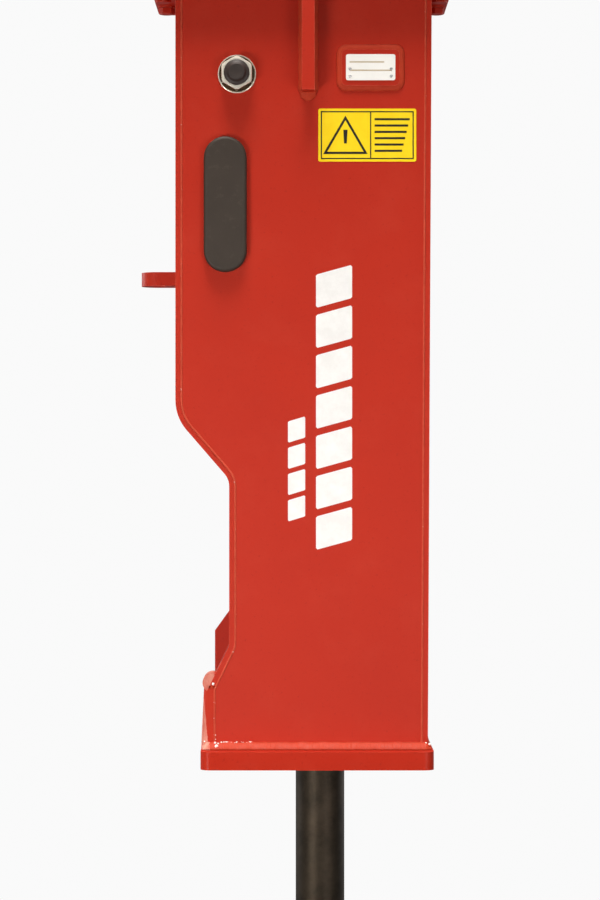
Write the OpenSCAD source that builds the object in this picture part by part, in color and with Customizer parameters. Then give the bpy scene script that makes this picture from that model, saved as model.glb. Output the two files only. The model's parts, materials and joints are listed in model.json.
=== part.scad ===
// Box-type hydraulic breaker: welded housing, floating power cell, piston, control valve and tool.
// Millimetres. The origin is where the tool's axis meets the mounting face; +Z is up, the tool hangs below.
// The back, where the hoses go in, faces -X. The side plates face -Y (right) and +Y (left).

/* [Housing] */
// Width over the outer faces of the two side plates
housing_w = 400; // [380:1:440]
// Thickness of each side plate
side_t = 16; // [12:1:20]
// Thickness of the bent back plate and of the front plate
bent_t = 12; // [10:1:14]
// Tool axis to the outer face of the back plate, beside the valve
back_x = 288; // [284:1:300]
// Tool axis to the outer face of the back plate, beside the front head
waist_x = 181.5; // [178:0.5:190]
// Tool axis to the outer face of the front plate at its top
front_top_x = 220; // [216:1:230]
// Tool axis to the outer face of the front plate at its foot
front_low_x = 212; // [210:1:220]
// Depth of the upper bend of the back plate below the mounting face
upper_bend_z = 943; // [930:1:950]
// Depth of the lower bend of the back plate
lower_bend_z = 1066; // [1050:1:1080]
// Outer radius of the upper bend
upper_bend_r = 90; // [60:1:110]
// Outer radius of the lower bend
lower_bend_r = 37; // [20:1:60]
// Depth of the underside of the bottom plate
housing_h = 1637; // [1630:1:1650]
// Thickness of the bottom plate
bottom_t = 36; // [30:1:40]
// How far the bottom plate stands out past each side plate
bottom_ledge = 45; // [30:1:50]
// Diameter of the tool's hole in the bottom plate
bottom_hole_d = 124; // [118:1:130]

/* [Flange] */
// Thickness of the top plate, which takes the bracket's bolts
top_t = 40; // [36:1:45]
// Thickness of the housing's own flange under it
flange_t = 30; // [26:1:34]
// Width of the flange across the side plates
flange_w = 500; // [480:1:520]
// Flange edge behind the tool axis
flange_back_x = 345; // [340:1:355]
// Flange edge in front of the tool axis
flange_front_x = 269; // [266:1:280]
// Corner radius of the flange and of the top plate
flange_r = 18; // [5:1:30]
// Distance between the bracket's bolts, the same both ways
hanger_pitch = 300; // [280:1:310]
// Thread diameter of the bracket's bolts
hanger_d = 30; // [24:3:36]
// Depth of the rib under the flange
rib_depth = 45; // [35:1:46]
// Thickness of the rib
rib_t = 25; // [20:1:30]
// Height of the rib
rib_h = 230; // [200:1:260]

/* [Foot] */
// Tool axis to the centre of the half-round guard bar
bar_x = 215.3; // [210:0.1:220]
// Depth of the guard bar's centre
bar_z = 1469; // [1460:1:1480]
// Diameter of the guard bar
bar_d = 38; // [30:1:42]
// Depth where the back plate turns out to the bar
foot_bend_z = 1395; // [1385:1:1400]
// Length of the guard bar, at the right end of the foot plate
guard_len = 60; // [40:1:90]
// Thickness of the foot plate under the bar
foot_t = 27; // [20:1:30]
// How far the foot plate's outer face leans in at its top
foot_lean = 5.8; // [0:0.1:8]
// Thickness of the foot rib
foot_rib_t = 20; // [10:1:25]

/* [Lug] */
// Thickness of the lifting lug
lug_t = 28; // [24:1:32]
// Width of the lifting lug
lug_w = 70; // [60:1:80]
// How far the lug stands out from the back plate
lug_out = 79; // [70:1:85]
// Diameter of the lug's hole
lug_hole_d = 30; // [26:1:32]
// Depth of the lug's middle plane
lug_z = 658; // [640:1:680]

/* [Tool] */
// Diameter of the tool
tool_d = 100; // [98:1:100]
// Length of the tool
tool_len = 1010; // [900:10:1100]
// Length of the tool's conical point
point_len = 190; // [150:10:220]
// How far the tool can slide up from where it hangs
tool_travel = 45; // [35:1:45]
// Diameter of the two retaining pins
keeper_d = 45; // [40:1:45]
// Distance from the tool axis to each retaining pin's axis
keeper_y = 52.5; // [52:0.1:53]
// Depth of the retaining pins
keeper_z = 1340; // [1335:1:1345]

/* [Power cell] */
// Side of the square front head and cylinder
cell_w = 280; // [276:1:284]
// Side of the square back head
back_head_w = 260; // [256:1:264]
// Distance from the tool axis to each through bolt, along X and along Y
tie_xy = 98; // [97:1:99]
// Diameter of the through bolts
tie_d = 38; // [36:1:40]
// Depth of the joint between the front head and the cylinder
joint_low_z = 1030; // [1025:1:1035]
// Depth of the joint between the cylinder and the back head
joint_high_z = 450; // [445:1:455]
// Thickness of the upper damper
upper_damper_t = 70; // [60:1:75]
// Thickness of the lower damper
lower_damper_t = 40; // [30:1:50]
// Diameter of the gas chamber
gas_d = 150; // [120:5:150]

/* [Piston] */
// Diameter of the piston's two lands
land_d = 98; // [96:1:98]
// Diameter of the piston's striking end
strike_d = 88; // [84:1:88]
// Diameter of the piston's gas end
gas_rod_d = 80; // [76:1:80]
// Piston length
piston_len = 650; // [640:1:660]
// Depth of the piston's striking face when it is at the bottom of its stroke
strike_z = 1141.5; // [1141:0.5:1142]
// Radial running clearance of the guides
guide_gap = 0.05; // [0.02:0.01:0.1]

/* [Valve] */
// Width of the valve housing
valve_w = 170; // [160:1:180]
// Tool axis to the valve housing's outer face
valve_x = 240; // [236:1:242]
// Tool axis to the spool's axis
spool_x = 190; // [188:1:192]
// Diameter of the spool
spool_d = 36; // [34:1:38]
// Travel of the spool
spool_travel = 12; // [8:1:12]
// Distance between the two hose adapters
port_pitch = 90; // [84:1:96]
// Diameter of the adapters' hose thread
port_d = 33; // [30:1:36]

/* [Cross bolt] */
// Diameter of the cross bolt
cross_d = 36; // [30:3:36]
// Tool axis to the cross bolt's axis
cross_x = 166; // [164:1:168]
// Depth of the cross bolt
cross_z = 264; // [255:1:275]
// Size across the flats of its nuts
cross_af = 60; // [50:1:60]
// Diameter of the nuts' round flange
cross_flange_d = 76; // [70:1:80]

/* [Trim] */
// Width of the oblong covers
cover_w = 85; // [80:1:90]
// Length of the oblong covers
cover_l = 268; // [250:1:280]
// Tool axis to the covers' middle
cover_x = 189; // [186:1:192]
// Depth of the covers' middle
cover_z = 522; // [515:1:530]
// Width of the nameplate
plate_w = 97.6; // [90:0.1:100]
// Height of the nameplate
plate_h = 51.5; // [45:0.1:55]
// Tool axis to the nameplate's middle
plate_x = 98.5; // [95:0.5:102]
// Depth of the nameplate's middle
plate_z = 251; // [245:1:260]

/* [Hidden] */
$fn = 48;
eps = 1;
side_y = housing_w / 2;
inner_y = side_y - side_t;
flange_low = top_t + flange_t;
bottom_top = housing_h - bottom_t;
foot_bend_r = 25;
foot_end = [-220.4, -1475];
foot_rib_out_x = 216;
foot_inner_x = 210.3;
foot_gap = 5.4;
foot_outer_x = foot_inner_x + foot_t;
bottom_front_x = 222.5;
bottom_y = side_y + bottom_ledge;
bottom_r = 20;
back_path = [
    [-back_x, -flange_low],
    [-back_x, -upper_bend_z],
    [-waist_x, -lower_bend_z],
    [-waist_x, -foot_bend_z],
    foot_end
];
back_radii = [0, upper_bend_r, lower_bend_r, foot_bend_r, 0];
front_path = [[front_low_x, -bottom_top], [front_top_x, -flange_low]];
front_tilt = atan((front_top_x - front_low_x) / (bottom_top - flange_low));
flange_mid_x = (flange_front_x - flange_back_x) / 2;
flange_open_back = 268;
flange_open_front = 198;
flange_open_y = 180;
flange_bolt_r = 10;
flange_bolt_hole_r = 11;
flange_bolt_depth = 30;
flange_head_af = 30;
flange_head_h = 13;
flange_washer_r = 18.5;
flange_washer_t = 4;
flange_end_back = -323;
flange_end_front = 247;
flange_side_y = 226;
flange_end_ys = [-140, 0, 140];
flange_side_dxs = [-235, -150, -62, 62, 150, 235];
flange_spots = concat(
    [for (x = [flange_end_back, flange_end_front]) for (y = flange_end_ys) [x, y]],
    [for (y = [-flange_side_y, flange_side_y]) for (dx = flange_side_dxs) [flange_mid_x + dx, y]]
);
rib_x = -25;
lug_hole_x = back_x + lug_out - lug_w / 2;
window_half_y = 110;
window_low_z = 560;
window_high_z = 370;
window_r = 25;
access_d = 56;
access_z = [keeper_z, keeper_z, 1250];
access_y = [-keeper_y, keeper_y, 0];
plug_head_d = 68;
plug_head_t = 5;
tool_gap = 0.3;
tool_top = keeper_top() + 130;
notch_half_y = keeper_y - keeper_d / 2 - 0.5;
notch_len = keeper_d + tool_travel + 3;
bush_r = 75;
bush_top_z = 1400;
head_bottom_z = bottom_top - lower_damper_t;
ring_bottom_z = 1230;
ring_lip_r = 45;
ring_lip_t = 40;
throat_r = 52;
keeper_back_x = 124;
keeper_front_x = 128;
stopper_x = 104;
stopper_r = 8;
stopper_in_y = keeper_y + keeper_d / 2 - 6;
bush_pin_r = 8;
bush_pin_z = 1480;
seal_r = 62;
seal_t = 12;
nipple_z = 1250;
nipple_r = 5;
half_cell = cell_w / 2;
half_back_head = back_head_w / 2;
cell_chamfer = 22;
back_head_top = top_t + upper_damper_t;
damper_r = 85;
tie_hole_r = tie_d / 2 + 0.5;
tie_end_z = 1236;
tie_nut_af = 55;
tie_nut_h = 36;
tie_washer_r = 31.5;
tie_washer_t = 6;
tie_spots = [for (x = [-tie_xy, tie_xy]) for (y = [-tie_xy, tie_xy]) [x, y]];
gas_bottom_z = 420;
gas_top_z = 170;
gas_port_z = 385;
retainer_r = 65;
retainer_low_z = 570;
bore_low_z = 960;
bore_r = land_d / 2 + guide_gap;
guide_r = strike_d / 2 + guide_gap;
gas_guide_r = gas_rod_d / 2 + guide_gap;
seal_depth = 6;
seal_h = 8;
low_seals = [1004, 986];
gas_seal_z = 516;
lower_land = [930, 870];
upper_land = [740, 680];
waist_d = 90;
groove_r = 57;
drill_r = 6;
gallery_x = 112;
valve_top = 430;
valve_low = 860;
sleeve_r = 25;
sleeve_top = 650;
sleeve_low = 800;
spool_end_gap = 0.4;
spool_len = sleeve_low - sleeve_top - spool_travel - 2 * spool_end_gap;
spool_neck_d = 28;
port_z = 480;
feed_zs = [785, 725, 665];
feed_r = 9;
adapter_in_x = 222;
adapter_hex_af = 41;
adapter_tip_x = 274;
valve_bolt_y = 66;
valve_bolt_zs = [520, 640, 836];
valve_bolt_r = 8;
valve_bolt_head_r = 12;
valve_bolt_head_h = 16;
valve_bolt_end_x = 112;
cap_t = 24;
cap_bolt_r = 6;
cap_bolt_dx = 34;
cap_bolt_dy = 34;
adjuster_z = 600;
cross_spacer_r = 25;
cross_hole_r = cross_d / 2 + 0.5;
cross_end_y = side_y + 30;
cross_nut_h = 27;
cross_nut_flange_h = 5;
cross_cap_r = 25.3;
cross_cap_top_r = 17.2;
cover_t = 17;
cover_edge_r = 7;
cover_lip = 7.5;
cover_inner_t = 6;
pad_w = 115;
pad_h = 72;
pad_t = 6;
plate_t = 1.5;
plate_r = 4;
rivet_dx = 40.6;
rivet_zs = [-3, -17.5];
rivet_r = 3;
label_low = [-5, -437];
label_high = [189, -332];
label_t = 0.6;

red_paint = [0.76, 0.20, 0.15];
dark_steel = [0.17, 0.16, 0.15];
machined = [0.62, 0.62, 0.63];
forged = [0.33, 0.34, 0.36];
zinc = [0.80, 0.74, 0.60];
black_rubber = [0.10, 0.10, 0.10];
brown_rubber = [0.30, 0.26, 0.23];
polymer = [0.83, 0.66, 0.22];
seal_tone = [0.13, 0.20, 0.36];
plate_white = [0.92, 0.92, 0.90];
label_yellow = [0.95, 0.80, 0.15];
bronze = [0.66, 0.50, 0.28];

// Depth of the retaining pins' upper side, where the tool's shoulders hang
function keeper_top() = -keeper_z + keeper_d / 2;

// Outlines are drawn in the X-Z plane; these find the flat runs and the bends of a plate that follows one
function unit(a, b) = (b - a) / norm(b - a);
function left_of(d) = [-d[1], d[0]];
function cross_of(a, b) = a[0] * b[1] - a[1] * b[0];
function turn(p, i) = asin(cross_of(unit(p[i - 1], p[i]), unit(p[i], p[i + 1])));
function is_end(p, i) = i == 0 || i == len(p) - 1;
function setback(p, r, i) = is_end(p, i) ? 0 : r[i] * tan(abs(turn(p, i)) / 2);
function bend_start(p, r, i) = p[i] - unit(p[i - 1], p[i]) * setback(p, r, i);
function bend_end(p, r, i) = p[i] + unit(p[i], p[i + 1]) * setback(p, r, i);
function inward(p, i) = left_of(unit(p[i], p[i + 1]));
function bend_centre(p, r, i) = bend_start(p, r, i) + inward(p, i - 1) * r[i] * sign(turn(p, i));

// Turns an X-Z outline into a slab of the given width, centred on Y
module across(w) {
    translate([0, w / 2, 0]) rotate([90, 0, 0]) linear_extrude(w) children();
}

// The area in front of the back plate's face that lies a given depth inside it, up to x = -limit
module back_region(d, limit, over) {
    c1 = bend_centre(back_path, back_radii, 1);
    c2 = bend_centre(back_path, back_radii, 2);
    c3 = bend_centre(back_path, back_radii, 3);
    low = foot_end + inward(back_path, 3) * d;
    difference() {
        union() {
            polygon([
                back_path[0] + inward(back_path, 0) * d + [0, over],
                bend_start(back_path, back_radii, 1) + inward(back_path, 0) * d,
                bend_end(back_path, back_radii, 1) + inward(back_path, 1) * d,
                bend_start(back_path, back_radii, 2) + inward(back_path, 1) * d,
                c2,
                bend_end(back_path, back_radii, 2) + inward(back_path, 2) * d,
                bend_start(back_path, back_radii, 3) + inward(back_path, 2) * d,
                c3,
                bend_end(back_path, back_radii, 3) + inward(back_path, 3) * d,
                low,
                [-limit, low[1]],
                [-limit, -flange_low + over]
            ]);
            translate(c1) circle(upper_bend_r - d);
        }
        translate(c2) circle(lower_bend_r + d);
        translate(c3) circle(foot_bend_r + d);
    }
}

// A rectangle with round corners, from its low corner
module round_rect(low, high, r) {
    translate(low + [r, 0]) square(high - low - [2 * r, 0]);
    translate(low + [0, r]) square(high - low - [0, 2 * r]);
    for (x = [low[0] + r, high[0] - r]) for (y = [low[1] + r, high[1] - r]) translate([x, y]) circle(r);
}

// A rectangle with two round ends, long way along Y, centred
module stadium(w, l) {
    square([w, l - w], center = true);
    for (s = [-1, 1]) translate([0, s * (l - w) / 2]) circle(d = w);
}

// A square block with chamfered upright edges, between two depths
module cell_block(half, low, high) {
    c = half - cell_chamfer;
    translate([0, 0, -low]) linear_extrude(low - high) polygon([
        [c, half], [half, c], [half, -c], [c, -half],
        [-c, -half], [-half, -c], [-half, c], [-c, half]
    ]);
}

// An upright cylinder between two depths
module post(r, low, high) {
    translate([0, 0, -low]) cylinder(h = low - high, r = r);
}

// An upright tube between two depths
module tube(r_out, r_in, low, high) {
    difference() {
        post(r_out, low, high);
        post(r_in, low + eps, high - eps);
    }
}

// Cylinders along X and along Y, between two coordinates
module rod_x(r, a, b) {
    translate([a, 0, 0]) rotate([0, 90, 0]) cylinder(h = b - a, r = r);
}

module rod_y(r, a, b) {
    translate([0, b, 0]) rotate([90, 0, 0]) cylinder(h = b - a, r = r);
}

// A hexagonal prism along Z of a given size across its flats
module hex(af, h) {
    cylinder(h = h, d = af / cos(30), $fn = 6);
}

// The guard bar between two Y coordinates: a round bar cut flat against the back plate's outer face
module half_round(a, b) {
    low = foot_end + unit(back_path[3], foot_end) * bar_d;
    difference() {
        translate([-bar_x, 0, -bar_z]) rod_y(bar_d / 2, a, b);
        across(housing_w + 2 * eps) polygon([back_path[3], low, [0, low[1]], [0, back_path[3][1]]]);
    }
}

// Outline of a side plate: inside the back plate's and front plate's inner faces
module side_outline() {
    c2 = bend_centre(back_path, back_radii, 2);
    c3 = bend_centre(back_path, back_radii, 3);
    slope = unit(back_path[3], foot_end);
    edge = foot_end + inward(back_path, 3) * bent_t;
    foot_corner = edge + slope * ((edge[0] + foot_inner_x) / -slope[0]);
    difference() {
        union() {
            polygon([
                back_path[0] + inward(back_path, 0) * bent_t,
                bend_start(back_path, back_radii, 1) + inward(back_path, 0) * bent_t,
                bend_end(back_path, back_radii, 1) + inward(back_path, 1) * bent_t,
                bend_start(back_path, back_radii, 2) + inward(back_path, 1) * bent_t,
                c2,
                bend_end(back_path, back_radii, 2) + inward(back_path, 2) * bent_t,
                bend_start(back_path, back_radii, 3) + inward(back_path, 2) * bent_t,
                c3,
                bend_end(back_path, back_radii, 3) + inward(back_path, 3) * bent_t,
                foot_corner,
                [-foot_inner_x, -bottom_top],
                front_path[0] - [bent_t, 0],
                front_path[1] - [bent_t, 0]
            ]);
            translate(bend_centre(back_path, back_radii, 1)) circle(upper_bend_r - bent_t);
        }
        translate(c2) circle(lower_bend_r + bent_t);
        translate(c3) circle(foot_bend_r + bent_t);
        translate([-cover_x, -cover_z]) stadium(cover_w - 2 * cover_lip, cover_l - 2 * cover_lip);
        translate([-cross_x, -cross_z]) circle(cross_hole_r);
    }
}

module side_plate(y) {
    translate([0, y, 0]) across(side_t) side_outline();
}

module right_side_plate() {
    color(red_paint) side_plate(-side_y + side_t / 2);
}

module left_side_plate() {
    color(red_paint) side_plate(side_y - side_t / 2);
}

module back_plate() {
    color(red_paint) difference() {
        across(housing_w) difference() {
            back_region(0, waist_x / 2, 0);
            back_region(bent_t, waist_x / 2 - eps, eps);
        }
        translate([-back_x - eps, 0, 0]) rotate([90, 0, 90]) linear_extrude(bent_t + 2 * eps)
            round_rect([-window_half_y, -window_low_z], [window_half_y, -window_high_z], window_r);
    }
}

// Places a child that points along +X on the front plate's outer face, square to it
module on_front(y, depth) {
    x = front_low_x + (bottom_top - depth) * tan(front_tilt);
    translate([x, y, -depth]) rotate([0, front_tilt, 0]) children();
}

module front_plate() {
    color(red_paint) difference() {
        across(housing_w) polygon([
            front_path[0],
            front_path[1],
            front_path[1] - [bent_t, 0],
            front_path[0] - [bent_t, 0]
        ]);
        for (i = [0 : 2]) on_front(access_y[i], access_z[i]) rod_x(access_d / 2, -bent_t - eps, eps);
    }
}

module bottom_plate() {
    color(red_paint) difference() {
        translate([0, 0, -housing_h]) linear_extrude(bottom_t)
            round_rect([-foot_outer_x, -bottom_y], [bottom_front_x, bottom_y], bottom_r);
        post(bottom_hole_d / 2, housing_h + eps, bottom_top - eps);
    }
}

module flange_outline() {
    round_rect([-flange_back_x, -flange_w / 2], [flange_front_x, flange_w / 2], flange_r);
}

module housing_flange() {
    color(red_paint) difference() {
        translate([0, 0, -flange_low]) linear_extrude(flange_t) flange_outline();
        translate([0, 0, -flange_low - eps]) linear_extrude(flange_t + 2 * eps)
            round_rect([-flange_open_back, -flange_open_y], [flange_open_front, flange_open_y], flange_r);
        for (s = flange_spots) translate(s) post(flange_bolt_hole_r, flange_low + eps, top_t - eps);
    }
}

module top_plate() {
    half_pitch = hanger_pitch / 2;
    color(red_paint) difference() {
        translate([0, 0, -top_t]) linear_extrude(top_t) flange_outline();
        for (s = flange_spots) translate(s)
            post(flange_bolt_r + guide_gap, top_t + eps, top_t - flange_bolt_depth);
        for (x = [-half_pitch, half_pitch]) for (y = [-half_pitch, half_pitch])
            translate([flange_mid_x + x, y]) post(hanger_d / 2, top_t + eps, -eps);
    }
}

module flange_ribs() {
    color(red_paint) for (y = [-side_y - rib_depth, side_y])
        translate([rib_x - rib_t / 2, y, -flange_low - rib_h]) cube([rib_t, rib_depth, rib_h]);
}

module foot_plate() {
    edge_r = 10;
    foot_h = bottom_top + foot_end[1] - foot_gap;
    color(red_paint) difference() {
        translate([0, 0, -bottom_top]) linear_extrude(foot_h) union() {
            round_rect([-foot_outer_x, -side_y], [-foot_inner_x, side_y], edge_r);
            translate([-foot_inner_x - edge_r, -side_y]) square([edge_r, housing_w]);
        }
        across(housing_w + 2 * eps) polygon([
            [-foot_outer_x, -bottom_top],
            [-foot_outer_x + foot_lean, -bottom_top + foot_h],
            [-foot_outer_x + foot_lean, -bottom_top + foot_h + eps],
            [-foot_outer_x - eps, -bottom_top + foot_h + eps],
            [-foot_outer_x - eps, -bottom_top]
        ]);
        half_round(-side_y - eps, -side_y + guard_len);
    }
}

module foot_rib() {
    rib_top_z = 1331;
    rib_knee_z = 1379;
    slope = unit(back_path[3], foot_end);
    low = foot_end + slope * ((-foot_rib_out_x - foot_end[0]) / slope[0]);
    color(red_paint) across(foot_rib_t) polygon([
        [-waist_x, -rib_top_z],
        [-foot_rib_out_x, -rib_knee_z],
        low,
        bend_end(back_path, back_radii, 3),
        bend_start(back_path, back_radii, 3)
    ]);
}

module guard_bar() {
    bar_short = 1;
    color(red_paint) half_round(-side_y + bar_short, -side_y + guard_len);
}

module lifting_lug() {
    color(red_paint) translate([0, 0, -lug_z - lug_t / 2]) linear_extrude(lug_t) difference() {
        union() {
            translate([-lug_hole_x, -lug_w / 2]) square([lug_hole_x - back_x, lug_w]);
            translate([-lug_hole_x, 0]) circle(d = lug_w);
        }
        translate([-lug_hole_x, 0]) circle(d = lug_hole_d);
    }
}

module flange_bolts() {
    head_top = flange_low + flange_washer_t;
    end_gap = 3;
    color(red_paint) for (s = flange_spots) translate(s) {
        translate([0, 0, -head_top - flange_head_h]) hex(flange_head_af, flange_head_h);
        post(flange_bolt_r, head_top, top_t - flange_bolt_depth + end_gap);
    }
}

module flange_washers() {
    color(red_paint) for (s = flange_spots) translate(s)
        tube(flange_washer_r, flange_bolt_r + 0.5, flange_low + flange_washer_t, flange_low);
}

// Places a child drawn in the X-Z plane against the right side plate, standing out by its own thickness
module on_right(out, t) {
    translate([0, -side_y - out, 0]) rotate([90, 0, 0]) linear_extrude(t) children();
}

module nameplate_pad() {
    pad_r = 10;
    half = [pad_w / 2, pad_h / 2];
    middle = [plate_x, -plate_z];
    color(red_paint) on_right(0, pad_t) round_rect(middle - half, middle + half, pad_r);
}

module rivet_spots() {
    for (dx = [-rivet_dx, rivet_dx]) for (dz = rivet_zs) translate([plate_x + dx, -plate_z + dz]) children();
}

module nameplate() {
    half = [plate_w / 2, plate_h / 2];
    middle = [plate_x, -plate_z];
    color(plate_white) on_right(pad_t, plate_t) difference() {
        round_rect(middle - half, middle + half, plate_r);
        rivet_spots() circle(rivet_r / 2 + guide_gap);
    }
}

module nameplate_rivets() {
    head_t = 1.4;
    color(machined) {
        on_right(pad_t, plate_t) rivet_spots() circle(rivet_r / 2);
        on_right(pad_t + plate_t, head_t) rivet_spots() circle(rivet_r);
    }
}

module warning_label() {
    color(label_yellow) on_right(0, label_t) round_rect(label_low, label_high, plate_r);
}

// Half of the cover's section: a pad with a rounded rim outside, a neck through the plate, a lip inside
module cover_section() {
    half = cover_w / 2;
    neck = half - cover_lip - 0.4;
    square([half, cover_t - cover_edge_r]);
    square([half - cover_edge_r, cover_t]);
    translate([half - cover_edge_r, cover_t - cover_edge_r]) circle(cover_edge_r);
    translate([0, -side_t]) square([neck, side_t]);
    translate([0, -side_t - cover_inner_t]) square([neck + 4, cover_inner_t]);
}

// An oblong rubber cover, outer face up along +Z, long way along Y
module oblong_cover() {
    run = cover_l - cover_w;
    for (s = [0, 180]) rotate([0, 0, s]) {
        translate([0, run / 2, 0]) rotate_extrude(angle = 180) cover_section();
        translate([0, run / 2, 0]) rotate([90, 0, 0]) linear_extrude(run) cover_section();
    }
}

module right_cover() {
    color(brown_rubber) translate([-cover_x, -side_y, -cover_z]) rotate([90, 0, 0]) oblong_cover();
}

module left_cover() {
    color(brown_rubber) translate([-cover_x, side_y, -cover_z]) rotate([-90, 0, 0]) oblong_cover();
}

module access_plugs() {
    neck_gap = 0.4;
    color(black_rubber) for (i = [0 : 2]) on_front(access_y[i], access_z[i]) {
        rod_x(plug_head_d / 2, 0, plug_head_t);
        rod_x(access_d / 2 - neck_gap, -bent_t - 3, eps);
    }
}

module cross_bolt() {
    color(machined) translate([-cross_x, 0, -cross_z]) rod_y(cross_d / 2, -cross_end_y, cross_end_y);
}

module cross_bolt_spacer() {
    color(forged) translate([-cross_x, 0, -cross_z]) difference() {
        rod_y(cross_spacer_r, -inner_y, inner_y);
        rod_y(cross_hole_r, -inner_y - eps, inner_y + eps);
    }
}

// Places a child that stands along +Z on the outer face of each side plate, over the cross bolt
module cross_ends() {
    for (s = [-1, 1]) translate([-cross_x, s * side_y, -cross_z]) rotate([s * -90, 0, 0]) children();
}

module cross_bolt_nuts() {
    color(zinc) cross_ends() difference() {
        union() {
            cylinder(h = cross_nut_flange_h, d = cross_flange_d);
            rotate([0, 0, 30]) hex(cross_af, cross_nut_h);
        }
        translate([0, 0, -eps]) cylinder(h = cross_nut_h + 2 * eps, r = cross_d / 2 + guide_gap);
    }
}

module cross_bolt_caps() {
    skirt_t = 7;
    cap_top_t = 14;
    color(black_rubber) cross_ends() difference() {
        translate([0, 0, cross_nut_h]) union() {
            cylinder(h = skirt_t, r = cross_cap_r);
            cylinder(h = cap_top_t, r = cross_cap_top_r);
        }
        translate([0, 0, -eps]) cylinder(h = cross_end_y - side_y + eps, r = cross_d / 2 + guide_gap);
    }
}

module upper_damper() {
    centre_hole_r = 30;
    color(polymer) tube(damper_r, centre_hole_r, back_head_top, top_t);
}

module lower_damper() {
    color(polymer) difference() {
        cell_block(half_cell - 4, bottom_top, head_bottom_z);
        post(bottom_hole_d / 2, bottom_top + eps, head_bottom_z - eps);
    }
}

module side_dampers() {
    high = [300, 400];
    low = [1440, 1540];
    rear = [1285, 1385];
    half = 55;
    front_t = front_low_x - bent_t - half_cell - 1;
    rear_t = waist_x - bent_t - half_cell;
    color(polymer) {
        for (s = [-1, 1]) {
            translate([-half, s > 0 ? half_back_head : -inner_y, -high[1]])
                cube([2 * half, inner_y - half_back_head, high[1] - high[0]]);
            translate([-half, s > 0 ? half_cell : -inner_y, -low[1]])
                cube([2 * half, inner_y - half_cell, low[1] - low[0]]);
        }
        translate([half_cell, -half, -low[1]]) cube([front_t, 2 * half, low[1] - low[0]]);
        translate([-waist_x + bent_t, -half, -rear[1]]) cube([rear_t, 2 * half, rear[1] - rear[0]]);
    }
}

module back_head() {
    rod_hole_r = gas_rod_d / 2 + 1.5;
    thread_r = 9;
    color(forged) difference() {
        cell_block(half_back_head, joint_high_z, back_head_top);
        post(rod_hole_r, joint_high_z + eps, gas_bottom_z - eps);
        post(gas_d / 2, gas_bottom_z, gas_top_z);
        for (s = tie_spots) translate(s) post(tie_hole_r, joint_high_z + eps, back_head_top - eps);
        translate([0, 0, -gas_port_z]) rod_x(thread_r, -half_back_head - eps, -half_back_head + 22);
        translate([0, 0, -gas_port_z]) rod_x(drill_r / 2, -half_back_head, 0);
    }
}

module gas_valve() {
    body_len = 26;
    color(machined) translate([0, 0, -gas_port_z]) {
        rod_x(9 - guide_gap, -half_back_head, -half_back_head + 20);
        translate([-half_back_head - 10, 0, 0]) rotate([0, 90, 0]) hex(24, 10);
        rod_x(8, -half_back_head - body_len, -half_back_head - 10);
        rod_x(9.5, -half_back_head - body_len - 12, -half_back_head - body_len + 6);
    }
}

// One cross drilling between the cylinder's bore and its valve face, by way of an upright drilling
module gallery(bore_z, face_z) {
    translate([0, 0, -bore_z]) rod_x(drill_r, -gallery_x - drill_r, -bore_r + 4);
    translate([-gallery_x, 0, 0]) post(drill_r, max(bore_z, face_z), min(bore_z, face_z));
    translate([0, 0, -face_z]) rod_x(drill_r, -half_cell - eps, -gallery_x);
}

module cylinder_body() {
    color(forged) difference() {
        cell_block(half_cell, joint_low_z, joint_high_z);
        post(bore_r, bore_low_z, retainer_low_z);
        post(guide_r, joint_low_z + eps, bore_low_z - eps);
        post(retainer_r + guide_gap, retainer_low_z, joint_high_z - eps);
        post(groove_r, bore_low_z, bore_low_z - 22);
        post(groove_r, upper_land[0] + 5, upper_land[0] - 35);
        post(groove_r, retainer_low_z + 30, retainer_low_z);
        for (z = low_seals) post(guide_r + seal_depth, z, z - seal_h);
        for (s = tie_spots) translate(s) post(tie_hole_r, joint_low_z + eps, joint_high_z - eps);
        gallery(bore_low_z - 10, feed_zs[0]);
        gallery(retainer_low_z + 15, feed_zs[2]);
        translate([0, 0, -feed_zs[1]]) rod_x(drill_r, -half_cell - eps, -bore_r + 4);
        for (y = [-valve_bolt_y, valve_bolt_y]) for (z = valve_bolt_zs)
            translate([0, y, -z]) rod_x(valve_bolt_r + guide_gap, -half_cell - eps, -valve_bolt_end_x + 2);
    }
}

module front_head() {
    color(forged) difference() {
        cell_block(half_cell, head_bottom_z, joint_low_z);
        post(bush_r + guide_gap, head_bottom_z + eps, bush_top_z);
        post(throat_r, bush_top_z + eps, ring_bottom_z - eps);
        post(bush_r + guide_gap, ring_bottom_z, joint_low_z - eps);
        for (s = tie_spots) translate(s) post(tie_d / 2 + guide_gap, tie_end_z + 4, joint_low_z - eps);
        for (s = [-1, 1]) {
            translate([0, s * keeper_y, -keeper_z])
                rod_x(keeper_d / 2 + guide_gap, -keeper_back_x - eps, half_cell + eps);
            translate([0, s * bush_r, -bush_pin_z]) rod_x(bush_pin_r + guide_gap, -45, half_cell + eps);
            translate([stopper_x, 0, -keeper_z]) rotate([0, 0, s > 0 ? 0 : 180])
                rod_y(stopper_r + guide_gap, stopper_in_y, half_cell + eps);
        }
        translate([0, 0, -nipple_z]) rod_x(nipple_r + guide_gap, half_cell - 14, half_cell + eps);
        translate([0, 0, -nipple_z]) rod_x(drill_r / 2, throat_r - 4, half_cell);
    }
}

module through_bolts() {
    thread_over = 8;
    top = back_head_top - tie_washer_t - tie_nut_h - thread_over;
    color(machined) for (s = tie_spots) translate(s) post(tie_d / 2, tie_end_z, top);
}

module through_bolt_washers() {
    color(machined) for (s = tie_spots) translate(s)
        tube(tie_washer_r, tie_hole_r, back_head_top, back_head_top - tie_washer_t);
}

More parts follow.
